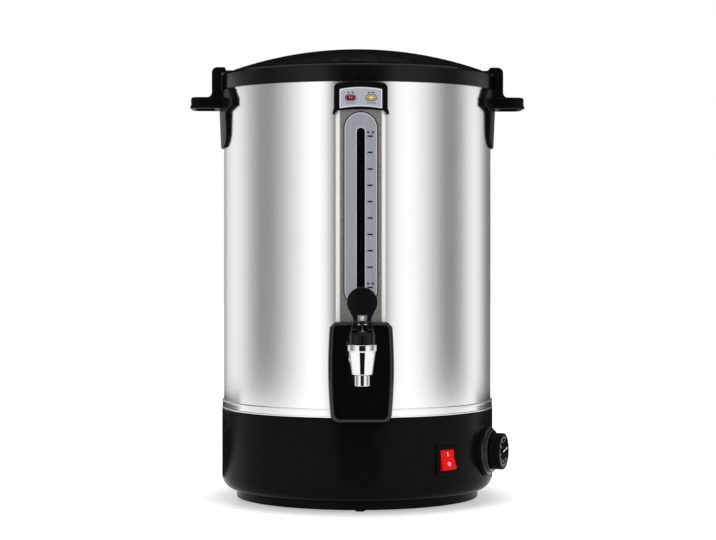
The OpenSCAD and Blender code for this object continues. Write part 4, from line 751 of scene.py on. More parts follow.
# %% Mould the feet
FOOT_R, FOOT_HIGH = 5.0, 7.5
foot_ring = 0.5 * (span("rubber_feet")[1][0] - span("rubber_feet")[0][0]) - FOOT_R
foot_section = [(0, 0.9), (2.2, 0.9), (2.8, 0.0), (4.2, 0.0), (4.8, 0.35), (FOOT_R, 1.1), (FOOT_R, FOOT_HIGH - 0.1),
                (2.0, FOOT_HIGH), (2.0, 9.6), (1.4, 9.95), (0, 9.95)]
places = [(foot_ring * math.sin(a), -foot_ring * math.cos(a)) for a in np.arange(4) * np.pi / 2]
build("feet", [turned(foot_section, 40, place) for place in places], ["rubber_feet"])

# %% [markdown]
# The handles
#
# A handle is a moulding in three parts that run into one another: a plate that lies on the shell and
# spreads the load, a flat grip like a shelf with a hollow under it for the fingers, and an upright
# block that hooks over the rim. The plate and the block are plates with soft edges. The grip needs
# rings that fit both its outline and its hollow, so both are read along the same rays: for each
# angle, a ring lies where the ray from the hollow's middle meets the outline or the shell.

# %% Rings along rays
HANDLE_REACH, _, HANDLE_LOW, HANDLE_TOP = reaches("handle_right")
GRIP_HALF, GRIP_HIGH, GRIP_THICK, GRIP_WALL, GRIP_CORNER = 26.0, 403.3, 11.3, 5.0, 10
GRIP_LOW = GRIP_HIGH - GRIP_THICK
HOLLOW_START, HOLLOW_END, HOLLOW_HALF, HOLLOW_DEPTH = SHELL_R + 9.5, HANDLE_REACH - GRIP_WALL, GRIP_HALF - 8, 7.0
hollow_middle = np.array([0.5 * (HOLLOW_START + HOLLOW_END), 0.0])
rays = on_circle(np.linspace(-np.pi, np.pi, 240, endpoint=False))


def to_outline(corners):
    """How far each ray goes before it leaves a closed outline.

    A ray d meets the side from p to q where cross(p, q - p) / cross(d, q - p) is positive.
    """
    start = np.asarray(corners) - hollow_middle
    side = np.roll(start, -1, axis=0) - start
    ray = rays[:, None]
    across = ray[..., 0] * side[:, 1] - ray[..., 1] * side[:, 0]
    across = np.where(np.abs(across) < 1e-9, 1e-9, across)
    far = (start[:, 0] * side[:, 1] - start[:, 1] * side[:, 0]) / across
    share = (start[:, 0] * ray[..., 1] - start[:, 1] * ray[..., 0]) / across
    inside = (share > -1e-6) & (share < 1 + 1e-6) & (far > 0)
    return np.where(inside, far, 0).max(axis=1)


def to_shell():
    """How far each ray goes before it meets the shell."""
    along = rays @ hollow_middle
    under = along ** 2 - (hollow_middle @ hollow_middle - ON_SHELL ** 2)
    far = np.where(under > 0, -along - np.sqrt(np.maximum(under, 0)), np.inf)
    return np.where(far > 0, far, np.inf)


def ray_ring(far, level):
    """The points that lie so far along the rays, at a level."""
    return raised_to(hollow_middle + far[:, None] * rays, level)


def grip_ring(inset, level):
    """The grip's plan at a level, moved in by inset everywhere but at the shell."""
    half, round_r = GRIP_HALF - inset, GRIP_CORNER - inset
    corners = rounded(box_of(SHELL_R - 6, -half, HANDLE_REACH - inset, half), [0, round_r, round_r, 0], steps=10)
    return ray_ring(np.minimum(to_outline(corners), to_shell()), level)


def hollow_ring(inset, level):
    """The finger hollow's plan at a level."""
    half_u, half_v = 0.5 * (HOLLOW_END - HOLLOW_START) - inset, HOLLOW_HALF - inset
    corners = rounded(box_of(-half_u, -half_v, half_u, half_v), 3.0, steps=8)
    return ray_ring(to_outline(corners + hollow_middle), level)


def ring_edge(ring, inset, level, soft, up, steps=5):
    """Rings round a soft edge: outward wall first, then the face, which looks up (1) or down (-1)."""
    return [ring(inset + soft * (1 - math.cos(a)), level - up * soft * (1 - math.sin(a)))
            for a in np.linspace(0, np.pi / 2, steps + 1)]


# %% Shape the grip
HOLLOW_TOP = GRIP_LOW + HOLLOW_DEPTH
no_reach = np.zeros(len(rays))
outer_side = ring_edge(grip_ring, 0.9, GRIP_HIGH, 2.2, 1)[::-1]
foot_step = [grip_ring(inset, GRIP_LOW + up) for inset, up in ((0.9, 2.9), (0.25, 2.5), (0.0, 2.0))]
lower_side = ring_edge(grip_ring, 0.0, GRIP_LOW, 1.2, -1)
hollow_side = ring_edge(lambda inset, level: hollow_ring(-inset, level), 0.0, GRIP_LOW, 0.8, -1)[::-1]
ceiling = ring_edge(hollow_ring, 0.0, HOLLOW_TOP, 1.2, 1)
grip = loft([ray_ring(no_reach, GRIP_HIGH)] + outer_side + foot_step + lower_side + hollow_side + ceiling
            + [ray_ring(no_reach, HOLLOW_TOP)])


# %% Shape the plate and the block
def on_cylinder(radius):
    """A face that follows a cylinder round the urn's axis: w = sqrt(radius^2 - u^2)."""
    return lambda flat: np.sqrt(radius ** 2 - flat[:, 0] ** 2)


STRAP_FOOT, STRAP_THICK, THIN_OVER = 3.0, 4.5, 35


def strap_front(flat):
    """The plate's face, which thins towards its foot: t = 3 + 1.5 * clip((v - low) / 35, 0, 1)."""
    thick = STRAP_FOOT + (STRAP_THICK - STRAP_FOOT) * np.clip((flat[:, 1] - HANDLE_LOW) / THIN_OVER, 0, 1)
    return np.sqrt((SHELL_R + thick) ** 2 - flat[:, 0] ** 2)


right_edge = np.array([(46, HANDLE_LOW), (46, 387), (63.5, 392), (63.5, 399.2), (55, 410.3)])
edge_radii = [16, 3, 2, 3, 2]
strap_corners = np.vstack([right_edge, right_edge[::-1] * (-1, 1)])
strap_shape = outline(*filled(strap_corners, edge_radii + edge_radii[::-1]), 6)
strap = outward(plate(strap_shape, on_cylinder(ON_SHELL), strap_front, edge=1.4, cap_rows=8), math.radians(90))
BLOCK_HALF, BLOCK_OUT, BLOCK_LOW, BLOCK_IN, HOOK_IN = 21.0, SHELL_R + 11.6, 396, 137.3, SHELL_R - 1.8
HOOK_LOW, BLOCK_STEP, RIM_LOW = GRIP_HIGH + 0.05, 5.6, 428.2
block_corners = [(ON_SHELL, BLOCK_LOW), (BLOCK_OUT + BLOCK_STEP, BLOCK_LOW), (BLOCK_OUT + BLOCK_STEP, HOOK_LOW),
                 (BLOCK_OUT, HOOK_LOW), (BLOCK_OUT, HANDLE_TOP), (HOOK_IN, HANDLE_TOP), (HOOK_IN, RIM_LOW),
                 (BLOCK_IN, RIM_LOW), (BLOCK_IN, 410.2), (ON_SHELL, 410.2)]
block_shape = outline(block_corners, [0, 0, 0, 5, 5.5, 1.2, 0.5, 0.5, 0.3, 0.3], 6)
block = plate(block_shape, -BLOCK_HALF, BLOCK_HALF, 1.3, 1.3)
right_handle = [grip, strap, facing(block, order=(0, 2, 1))]
build("handle_moulded_right", right_handle, ["handle_right"])
build("handle_moulded_left", [facing(shape, **HALF_TURN) for shape in right_handle], ["handle_left"])

# %% [markdown]
# The gauge
#
# A bent sheet channel stands on the shell over the sight tube. Its long edges are folded on a radius
# of about three millimetres, so each fold shows a bright line along its height, and a cream highlight is
# painted along each fold as well. A thin printed plate lies on its face. Both have a slot with round
# ends, behind which the glass tube stands in a black trough. The channel's own slot is hidden by the
# plate, so two angle strips and two bridges make it.

# %% Fold the channel and pierce the plate
CHANNEL_HALF, CHANNEL_FRONT, CHANNEL_LOW, CHANNEL_HIGH = reaches("gauge_channel")
SCALE_HALF, SCALE_FRONT, SCALE_LOW, SCALE_HIGH = reaches("gauge_scale")
SHEET, FOLD_R, SLOT_HALF = 1.2, 3.4, 3.95
SLOT_LOW, SLOT_HIGH = SCALE_LOW + 7.9 - SLOT_HALF, SCALE_HIGH - 15.6
fold_back, sheet_back = math.sqrt(ON_SHELL ** 2 - CHANNEL_HALF ** 2), CHANNEL_FRONT - SHEET
angle_corners = [(SLOT_HALF, CHANNEL_FRONT), (CHANNEL_HALF, CHANNEL_FRONT), (CHANNEL_HALF, fold_back),
                 (CHANNEL_HALF - SHEET, fold_back), (CHANNEL_HALF - SHEET, sheet_back), (SLOT_HALF, sheet_back)]
angle_shape = outline(angle_corners, [0, FOLD_R, 0.2, 0.2, FOLD_R - SHEET, 0], 10)
angle_strip = facing(plate(angle_shape, CHANNEL_LOW, CHANNEL_HIGH, 0.15, 0.15, steps=2), **IN_PLAN)
bridges = [outward(plate(upright_outline(SLOT_HALF, low, high, 0.0, 5), sheet_back, CHANNEL_FRONT, 0.0))
           for low, high in ((CHANNEL_LOW, SLOT_LOW - 0.6), (SLOT_HIGH + 0.6, CHANNEL_HIGH))]
build("gauge_channel_folded", [angle_strip, facing(angle_strip, **LEFT_FOR_RIGHT)] + bridges, ["gauge_channel"],
      sharp=30)

scale_shape = upright_outline(SCALE_HALF, SCALE_LOW, SCALE_HIGH, SCALE_HALF - 0.05)
slot_shape = upright_outline(SLOT_HALF, SLOT_LOW, SLOT_HIGH, SLOT_HALF - 0.01)
scale = outward(frame_plate(scale_shape, slot_shape, CHANNEL_FRONT, SCALE_FRONT, 0.3, 0.2, steps=3))
build("scale_plate", [scale], ["gauge_scale"], finish="scale_print")

# %% [markdown]
# Prints on the scale
#
# The plate has a dark line painted along its edge for the shade of the gap round it, with a thin pale line inside
# it, and another pale line round the slot.
# Ten short marks stand to the right of the slot, with two dots at the top and two at the bottom.
# Prints are thin solids that stand a few hundredths of a millimetre proud, as screen-printed ink does.

# %% Print lines and level marks
INK_HEIGHT, INK_DEPTH, INK_EDGE = 0.06, 0.05, 0.02
# Each ink takes a slot. The glints are painted highlights, and each takes its lens's slot.
INK_SLOT = {"dark_ink_and_edge_shade": "matt_black_plastic", "pale_ink": "white_plastic", "pale_glint": "amber_lens",
            "pink_glint": "red_lens"}


def thin_line(shape, start, width, front):
    """A thin line of a width that follows an outline, start millimetres inside it: ink, or the shade painted along
    the scale's edge.
    """
    return outward(frame_plate(lambda d: shape(start + d), lambda d: shape(start + width + d), front - INK_DEPTH,
                               front + INK_HEIGHT, INK_EDGE, INK_EDGE, steps=1))


def thin_bar(u, v, half_u, half_v, front):
    """A small bar around (u, v): ink, or a highlight painted on a lens."""
    return outward(plate(block_outline(half_u, half_v, 0.12, (u, v), steps=2), front - INK_DEPTH,
                         front + INK_HEIGHT, INK_EDGE, steps=1))


def ink(name, shapes, colour, node):
    """Shapes in an ink of their own colour, on the part that carries them: prints, and also the highlights painted
    on the lenses and the shade painted along the scale's edge.
    """
    build(name, shapes, slot=INK_SLOT[colour], body=nodes[node]["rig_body"], finish=colour)


MARK_LEVELS = [358.0, 342.7, 327.0, 311.6, 296.2, 280.7, 265.2, 249.8, 234.3, 215.0]
MARK_MIDDLE, MARK_HALF, DOT_RISE = 8.8, 2.5, 3.7
# Painted shade: a dark line along the plate's edge stands for the shade in the gap round it.
ink("scale_edge_painted_shade", [thin_line(scale_shape, 0.10, 0.95, SCALE_FRONT)], "dark_ink_and_edge_shade", "gauge_scale")
pale_lines = ((scale_shape, 1.45, 0.40), (lambda d: slot_shape(d - 1.5), 0.9, 0.45))
ink("scale_inner_line", [thin_line(*line, SCALE_FRONT) for line in pale_lines], "pale_ink", "gauge_scale")
ink("level_marks", [thin_bar(MARK_MIDDLE, level, MARK_HALF, 0.78, SCALE_FRONT) for level in MARK_LEVELS]
    + [thin_bar(MARK_MIDDLE + u, level + DOT_RISE, 1.0, 0.95, SCALE_FRONT) for u in (-1.9, 2.6)
       for level in (MARK_LEVELS[0], MARK_LEVELS[-1])], "dark_ink_and_edge_shade", "gauge_scale")

# %% [markdown]
# The lamp housing
#
# Above the gauge a small moulded box bridges the channel and the rim. Its face is arched at the top
# and, more slightly, at the bottom, where two tips point down past the channel. A fascia with the top's
# arch lies in a shallow seat in its face, and the two lamps' lenses stand through both.

# %% Mould the housing
TIP_HALF, BOX_FRONT, BOX_LOW, BOX_HIGH = reaches("lamp_housing")
BOX_HALF, BOX_ARCH, BAR_LOW, BAR_RADIUS, ARCH_POINTS = TIP_HALF - 1.6, 2.6, BOX_LOW + 4.5, 200.0, 15
box_radius = (2 * BOX_HALF) ** 2 / 8 / BOX_ARCH
LAMP_LEVEL, LAMP_X, LENS_HALF, LENS_HALF_HIGH = BOX_HIGH - 16.0, 9.7, 4.6, 2.45


def arch(top, radius, half):
    """Points along a shallow arch from left to right: v = top - u^2 / (2 radius), nearly a circle."""
    u = np.linspace(-half, half, ARCH_POINTS)
    return np.stack([u, top - u ** 2 / (2 * radius)], axis=1)


low_line, high_line = arch(BAR_LOW, BAR_RADIUS, BOX_HALF - 4.1), arch(BOX_HIGH, box_radius, BOX_HALF - 6.5)[::-1]
right_side = np.array([(BOX_HALF - 0.2, BOX_LOW + 0.3), (BOX_HALF + 1.6, BOX_LOW), (BOX_HALF, BAR_LOW + 1.5),
                       (BOX_HALF, BAR_LOW + 9), (BOX_HALF, BOX_HIGH - BOX_ARCH)])
box_corners = np.vstack([low_line, right_side, high_line, right_side[::-1] * (-1, 1)])
side_radii = [0.2, 0.2, 1.0, 0.0, 5.0]
box_shape = outline(box_corners, [0.0] * ARCH_POINTS + side_radii + [0.0] * ARCH_POINTS + side_radii[::-1], 5)
housing = outward(plate(box_shape, on_cylinder(ON_SHELL + 1.0), BOX_FRONT, edge=0.85, cap_rows=5))
build("lamp_housing_moulded", [housing], ["lamp_housing"], finish="satin_black")

# %% Lay the fascia in it and print its marks
FASCIA_HALF, FASCIA_HALF_HIGH, FASCIA_RADIUS, FASCIA_FRONT = 20.2, 9.2, (2 * 20.35) ** 2 / 16, BOX_FRONT + 0.12
fascia_low, fascia_top = (arch(LAMP_LEVEL + 1 + up, FASCIA_RADIUS, FASCIA_HALF)
                          for up in (-FASCIA_HALF_HIGH, FASCIA_HALF_HIGH))
arch_radii = [0.8] + [0.0] * (ARCH_POINTS - 2) + [0.8]
fascia_shape = outline(np.vstack([fascia_low, fascia_top[::-1]]), arch_radii * 2, 4)
fascia = outward(plate(fascia_shape, BOX_FRONT - 0.6, FASCIA_FRONT, 0.12, cap_rows=3))
build("fascia_sheet", [fascia], ["lamp_fascia"])
ink("fascia_border", [thin_line(fascia_shape, 0.3, 0.85, FASCIA_FRONT)], "pale_ink", "lamp_fascia")
MARKS_ABOVE, MARKS_BELOW = [(-1.9, 1.0), (1.9, 1.1)], [(-3.6, 0.5), (-2.0, 0.5), (0.2, 0.6), (2.0, 0.5), (3.6, 0.5)]
MARK_ROWS = ((5.0, 0.6, MARKS_ABOVE), (-4.9, 0.42, MARKS_BELOW))
ink("fascia_marks", [thin_bar(side * LAMP_X + u, LAMP_LEVEL + v, half_u, half_v, FASCIA_FRONT)
                     for side in (-1, 1) for v, half_v, marks in MARK_ROWS for u, half_u in marks],
    "dark_ink_and_edge_shade", "lamp_fascia")

# %% Fit the lenses, their painted glints and their rings
GLINT_FRONT = BOX_FRONT + 0.95


def lens_outline(side, more=0.0, less=0.02):
    """The outline of a lamp's lens, or of a ring that much larger round it."""
    half_high = LENS_HALF_HIGH + more
    return block_outline(LENS_HALF + more, half_high, half_high - less, (side * LAMP_X, LAMP_LEVEL), 12)


for name, node, side in (("lens_heating", "lamp_heating", -1), ("lens_keep_warm", "lamp_keep_warm", 1)):
    build(name, [outward(plate(lens_outline(side), BOX_FRONT - 2.0, BOX_FRONT + 0.62, 0.7, steps=5, cap_rows=5,
                               dish=lambda share: 0.38 * (1 - (1 - share) ** 2)))], [node])
# Painted highlights: a pale bar on the amber lens and two pink bars on the red one stand for the lenses' shine.
ink("amber_glint", [thin_bar(LAMP_X, LAMP_LEVEL + 0.2, 1.7, 0.8, GLINT_FRONT)], "pale_glint", "lamp_keep_warm")
ink("red_glint", [thin_bar(u - LAMP_X, LAMP_LEVEL + 0.1, 0.5, 0.9, GLINT_FRONT) for u in (-0.9, 1.1)],
    "pink_glint", "lamp_heating")
ink("lamp_rings", [thin_line(lens_outline(side, 0.75, 0.05), 0.0, 0.5, FASCIA_FRONT) for side in (-1, 1)],
    "dark_ink_and_edge_shade", "lamp_fascia")

# %% [markdown]
# The tap's guard
#
# A moulded tray behind the tap keeps fingers off the hot shell and carries the tap's rosette. Its
# sides bulge on a very large radius, its face meets them on a soft edge, and it is hollow behind.

# %% Mould the guard
GUARD_HALF, GUARD_FRONT, GUARD_LOW, GUARD_HIGH = reaches("tap_guard")
GUARD_WALL, GUARD_EDGE, GUARD_SIDE_R, GUARD_CORNER = 2.2, 4.6, 500.0, 9.0
guard_middle = GUARD_LOW + 0.55 * (GUARD_HIGH - GUARD_LOW)
side_levels = np.linspace(GUARD_LOW, GUARD_HIGH - 5, 14)
side_line = np.stack([GUARD_HALF - (side_levels - guard_middle) ** 2 / (2 * GUARD_SIDE_R), side_levels], axis=1)
guard_corners = np.vstack([side_line, [(GUARD_HALF - 6, GUARD_HIGH)], [(6 - GUARD_HALF, GUARD_HIGH)],
                           side_line[::-1] * (-1, 1)])
side_radii = [GUARD_CORNER] + [0.0] * 12 + [2.5, 2.5]


def behind_guard(flat):
    """The guard's back follows what it stands on: the shell, the trim band and the base, by height."""
    level = flat[:, 1]
    radius = np.where(level < BASE_TOP, BASE_R, np.where(level < BAND_HIGH + 0.3, BAND_R, SHELL_R)) + 0.12
    return np.sqrt(radius ** 2 - flat[:, 0] ** 2)


guard = tray(outline(guard_corners, side_radii + side_radii[::-1], 6), behind_guard, GUARD_FRONT, GUARD_EDGE,
             GUARD_WALL, steps=7, cap_rows=6)
build("guard_moulded", [outward(guard)], ["tap_guard"], finish="gloss_black")

# %% [markdown]
# The tap
#
# The tap's body is a turned and chromed brass casting: a cone that widens upward to a collar, with
# a shank that goes back through the guard and the shell, and a short spout below. Every edge is
# broken by the polishing wheel before plating, so each shows as a thin bright line.

# %% Turn the tap
TAP_OUT = 0.5 * -(span("tap_spout")[0][1] + span("tap_spout")[1][1])
BODY_LOW, SPOUT_LOW, SPOUT_R, SPOUT_BORE = span("tap_body")[0][2], span("tap_spout")[0][2], 7.1, 4.5
CONE_LOW_R, CONE_HIGH_R, CONE_BORE, SHANK_LEVEL, SHANK_R, SHANK_START = 9.5, 12.5, 5.5, 150.0, 7.0, 112.0
COLLAR_HIGH, COLLAR_R, COLLAR_BORE, ROSETTE_R, ROSETTE_FRONT = 163.8, 13.6, 9.1, 12, GUARD_FRONT + 3
COLLAR_LOW, COLLAR_FLOOR, SHANK_END = COLLAR_HIGH - 6.5, COLLAR_HIGH - 6, TAP_OUT - 5
tap_axis = (0.0, -TAP_OUT)
print("tap axis", round(TAP_OUT, 2), "in front; body from", round(BODY_LOW, 1), "spout from", round(SPOUT_LOW, 1))
body_section = closed_section(
    [(CONE_BORE, BODY_LOW), (CONE_LOW_R, BODY_LOW), (CONE_HIGH_R, COLLAR_LOW - 0.4), (COLLAR_R, COLLAR_LOW + 0.9),
     (COLLAR_R, COLLAR_HIGH), (COLLAR_BORE, COLLAR_HIGH), (COLLAR_BORE, COLLAR_FLOOR), (CONE_BORE, COLLAR_FLOOR)],
    [0.2, 1.2, 0.7, 0.8, 0.8, 0.3, 0.2, 0.2], 6)
shank_section = box_of(0.0, SHANK_START, SHANK_R, SHANK_END)
rosette_section = rounded(
    [(0, GUARD_FRONT), (ROSETTE_R, GUARD_FRONT)] + [(r, ROSETTE_FRONT) for r in (ROSETTE_R, 8.6, SHANK_R, 0)],
    [0, 0, 1.4, 0, 0, 0], 6)
build("tap_body_chromed", [turned(body_section, 128, tap_axis), turned_out(shank_section, 0.0, SHANK_LEVEL, 64),
                           turned_out(rosette_section, 0.0, SHANK_LEVEL)], ["tap_body"])
spout_section = closed_section(box_of(SPOUT_BORE, SPOUT_LOW, SPOUT_R, BODY_LOW - 0.3), [0.5, 0.8, 0.3, 0.2], 6)
build("tap_spout_chromed", [turned(spout_section, 96, tap_axis)], ["tap_spout"])

# %% [markdown]
# The bonnet
#
# A black cap screws into the collar and holds the spring down. Its side has flutes for the fingers,
# and its radius dips at each: radius = outer - depth * dip(angle), where the dip is a narrow cosine.

# %% Flute the bonnet
BONNET_R, BONNET_BORE, BONNET_HIGH, FLUTES, FLUTE_DEPTH = 12.0, 2.6, COLLAR_HIGH + 11.7, 12, 0.95
BONNET_SHOULDER = BONNET_HIGH - 3.4


def fluted(profile, depths, count, flutes, axis, first=0.0):
    """A turned profile whose radius dips at each flute: r = profile - depth * max(cos(flutes * angle), 0)^3."""
    points, faces = turned(profile, count, axis)
    dip = np.maximum(np.cos(flutes * full_turn(count, first)), 0) ** 3
    middle = np.array([axis[0], axis[1], 0.0])
    shrink = 1 - depths[:, None] * dip / np.maximum(profile[:, :1], 1e-6)
    grid = points.reshape(len(profile), count, 3) - middle
    return (grid * np.stack([shrink, shrink, np.ones_like(shrink)], axis=-1) + middle).reshape(-1, 3), faces


def with_wall(section, radius, low, high, before=14, rows=9):
    """A section with more points put into its outer wall after so many, for the flutes to start and end on."""
    wall = np.column_stack([np.full(rows, radius), np.linspace(low, high, rows)])
    return np.vstack([section[:before], wall, section[before:]])


bonnet_section = with_wall(
    closed_section([(BONNET_BORE, COLLAR_HIGH + 0.05), (BONNET_R, COLLAR_HIGH + 0.05), (BONNET_R, BONNET_SHOULDER),
                    (BONNET_R - 1.4, BONNET_HIGH), (BONNET_BORE, BONNET_HIGH)], [0, 0.4, 1.0, 0.6, 0.2], 6),
    BONNET_R, COLLAR_HIGH + 1.0, BONNET_SHOULDER - 0.6)
on_wall = np.clip((bonnet_section[:, 1] - COLLAR_HIGH - 0.9) / 0.8, 0, 1) * (bonnet_section[:, 0] > 9)
on_wall *= np.clip((BONNET_SHOULDER + 0.3 - bonnet_section[:, 1]) / 0.8, 0, 1)
build("bonnet_moulded", [fluted(bonnet_section, FLUTE_DEPTH * on_wall, 240, FLUTES, tap_axis, math.radians(15))],
      ["tap_bonnet"])

# %% [markdown]
# The tap's lever
#
# The lever is one black moulding: a round paddle, dished on both faces, on a forked neck that
# straddles the stem. Each arm of the fork ends in a round cam in front of the pin, which lifts the
# stem when the paddle is pulled forward. Half the dished thickness at a distance d from the paddle's
# middle is t = min(4.5, 2.6 + d^2 / 120), which is nearly a sphere of radius 60.

# %% Mould the lever and cut the stem's nut
PIN_LEVEL, PIN_RISE, PADDLE_R, PADDLE_UP = BONNET_HIGH + 6.0, 5.85, 14.2, 20.9
SLOT_SIDE, NECK_HALF, HEEL_HALF, CAM_REACH, CAM_POINTS, NECK_TOP = 4.4, 8.5, 10.6, 6.0, 34, 9.45
THIN, THICK, DISH, NUT_R = 2.6, 4.5, 120, 2.7


def dished(flat):
    """Half the dished thickness, at points measured from the pin's axis."""
    return THIN + (flat[:, 0] ** 2 + (flat[:, 1] - PADDLE_UP) ** 2) / DISH


def lever_part(shape, less, soft, **more):
    """A part of the lever between its dished faces, or a little under them."""
    face = lambda side: lambda flat: TAP_OUT + side * (np.minimum(THICK, dished(flat)) - less)
    return outward(plate(shape, face(-1), face(1), soft, soft, **more), level=PIN_LEVEL)


def flared(flat):
    """The cam's outer side: it flares from the neck's half width above the pin to the heel's at the bottom."""
    share = np.clip((4.6 - flat[:, 1]) / (4.6 + PIN_RISE), 0, 1)
    return NECK_HALF + (HEEL_HALF - NECK_HALF) * share


join_angle = math.asin(-0.57)
on_disc = np.linspace(join_angle, math.pi - join_angle, 73)
paddle_corners = np.vstack([on_circle(on_disc, PADDLE_R, (0, PADDLE_UP)),
                            [(u, NECK_TOP) for u in (-9.95, -5, 0, 5, 9.95)]])
paddle = lever_part(outline(paddle_corners, 0.0, 1), 0.0, 1.5, steps=5, cap_rows=9)
arm_corners = [(SLOT_SIDE, -4.65), (HEEL_HALF - 0.3, -4.65), (NECK_HALF, 2.5), (NECK_HALF, 6.5), (10.1, 10.0),
               (9.6, 12.0), (SLOT_SIDE, 12.0)]
arm_shape = outline(*filled(arm_corners, [0.3, 0.5, 1.0, 1.0, 0.5, 0.5, 0.3], 3.0), 3)
arm = lever_part(arm_shape, 0.05, 0.7, cap_rows=4)
around_cam = np.radians(np.linspace(-90, 104, CAM_POINTS))
cam_corners = np.vstack([on_circle(around_cam, PIN_RISE, (TAP_OUT + CAM_REACH, 0)), [
    (TAP_OUT + 3.9, 5.5), (TAP_OUT - 2, 5.0), (TAP_OUT - 2, -PIN_RISE)]])
cam_shape = outline(cam_corners, [0.0] * CAM_POINTS + [0.3, 0.3, 0.6], 3)
cam_points, cam_faces = plate(cam_shape, SLOT_SIDE, flared, 0.7, 0.2, cap_rows=3)
cam = facing((cam_points + (0, PIN_LEVEL, 0), cam_faces), **SIDE_VIEW)
other_side = [facing(shape, **LEFT_FOR_RIGHT) for shape in (arm, cam)]
build("lever_moulded", [paddle, arm, cam] + other_side, ["tap_lever"])

nut_turn = np.radians(np.arange(6) * 60 + 30)
nut_shape = outline(on_circle(nut_turn, NUT_R, (0, TAP_OUT)), 0.4, 4)
build("stem_nut_turned", [facing(plate(nut_shape, *reaches("stem_nut")[2:], 0.5, 0.2), **IN_PLAN)], ["stem_nut"])

# %% Dot the paddle
DOT_ACROSS, DOT_UP, DOT_R, DOTTED = 2.6, 2.2, 0.42, 90
dots = []
for row, column in ((row, column) for row in range(-3, 5) for column in range(-3, 4)):
    u, v = DOT_ACROSS * column, DOT_UP * row
    if u ** 2 + v ** 2 < DOTTED:
        front = TAP_OUT + dished(np.array([(u, PADDLE_UP + v)]))[0]
        dot = plate(round_outline(DOT_R, 10, (u, PADDLE_UP + v)), front - 0.2, front + 0.14, 0.12, steps=2)
        dots.append(outward(dot, level=PIN_LEVEL))
build("paddle_dots", dots, slot="matt_black_plastic", body=nodes["tap_lever"]["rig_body"])

# %% [markdown]
# The controls on the base
#
# To the right of the tap a rocker switch sits in a bezel, and further round a ribbed knob turns in a
# stepped escutcheon. The base's wall is round, so each is drawn on a flat view of its own that faces
# outward at its angle. Their marks are plain: I and O on the rocker, and numbers on the knob.


# %% Sink a well into a body
def well(body, bezel, hole, levels, edge=1.0, hole_edge=0.5, steps=4):
    """A body behind a bezel, with a blind hole: rings run from its back, over its face and to its floor.

    levels are the distances out of the body's back, the bezel's back, its face and the hole's floor.
    """
    back, under, face, floor_level = levels
    front, inner = soft_edge(bezel, face, edge, 1, steps), soft_edge(lambda d: hole(-d), face, hole_edge, 1, steps)
    point = np.tile(middle_of(hole(0)), (len(hole(0)), 1))
    return loft([raised_to(point, back), raised_to(body(0), back), raised_to(body(0), under),
                 raised_to(bezel(0), under)] + front + inner[::-1]
                + [raised_to(hole(0), floor_level), raised_to(point, floor_level)])


# %% Fit the knob and its escutcheon
KNOB_LOW, KNOB_R, KNOB_FACE_R, RIBS, RIB_DEPTH = BASE_R + 7.4, 18.0, 15.6, 36, 0.6
KNOB_HIGH = KNOB_LOW + 10.6
DIAL_FRONT = KNOB_HIGH - 0.35
RING_BORE, RING_OUT, RING_IN, RING_STEP, RING_FACE = 9.6, 23.75, 21.15, KNOB_PAD + 2.8, KNOB_PAD + 5.5
escutcheon = closed_section(
    [(RING_BORE, KNOB_PAD), (RING_OUT, KNOB_PAD), (RING_OUT, RING_STEP), (RING_IN, RING_STEP), (RING_IN, RING_FACE),
     (RING_BORE, RING_FACE)], [0.2, 0.2, 0.9, 0.5, 0.9, 0.2], 6)
build("escutcheon_moulded", [turned_out(escutcheon, KNOB_TURN, KNOB_LEVEL, 144)], ["knob_escutcheon"],
      finish="gloss_black")
knob_section = with_wall(
    rounded([(0, KNOB_LOW), (KNOB_R, KNOB_LOW), (KNOB_R, KNOB_HIGH), (KNOB_FACE_R, KNOB_HIGH),
             (KNOB_FACE_R - 0.4, DIAL_FRONT), (0, DIAL_FRONT)], [0, 0.5, 1.3, 0.15, 0.15, 0], 6),
    KNOB_R, KNOB_LOW + 0.8, KNOB_HIGH - 1.8)
ribbed = np.clip((knob_section[:, 1] - KNOB_LOW - 1.2) / 0.6, 0, 1) * (knob_section[:, 0] > 16.6)
knob = fluted(knob_section, RIB_DEPTH * ribbed, 432, RIBS, (0.0, 0.0))
build("knob_moulded", [outward(knob, KNOB_TURN, KNOB_LEVEL)], ["thermostat_knob"])

# %% Print the knob's dial
POINTER_ANGLE, NUMBER_RADIUS, NUMBER_SIZE = math.radians(11), 10.4, 3.6


def dial_bar(angle, start, end, half):
    """An ink bar that lies along the dial's radius, at an angle from its right, anticlockwise."""
    along, across = np.array([math.cos(angle), math.sin(angle)]), np.array([-math.sin(angle), math.cos(angle)])
    corners = [along * far + across * side for far, side in box_of(start, -half, end, half)]
    return plate(outline(corners, 0.1, 2), DIAL_FRONT - INK_DEPTH, DIAL_FRONT + INK_HEIGHT, INK_EDGE, steps=1)


def dial_number(text, angle):
    """A number whose middle lies on the dial's radius, as a thin solid with its top outward."""
    curve = bpy.data.curves.new("number_" + text, "FONT")
    curve.body, curve.size, curve.extrude, curve.resolution_u = text, NUMBER_SIZE, INK_HEIGHT, 3
    curve.align_x = curve.align_y = "CENTER"
    writer = bpy.data.objects.new("number_" + text, curve)
    scene.collection.objects.link(writer)
    bpy.context.view_layer.update()
    mesh = bpy.data.meshes.new_from_object(writer.evaluated_get(bpy.context.evaluated_depsgraph_get()))
    points = np.array([corner.co[:] for corner in mesh.vertices])
    faces = [list(side.vertices) for side in mesh.polygons]
    bpy.data.objects.remove(writer)
    bpy.data.curves.remove(curve)
    bpy.data.meshes.remove(mesh)
    spin = angle - math.pi / 2
    u = points[:, 0] * math.cos(spin) - points[:, 1] * math.sin(spin) + NUMBER_RADIUS * math.cos(angle)
    v = points[:, 0] * math.sin(spin) + points[:, 1] * math.cos(spin) + NUMBER_RADIUS * math.sin(angle)
    return np.stack([u, v, points[:, 2] + DIAL_FRONT], axis=1), faces


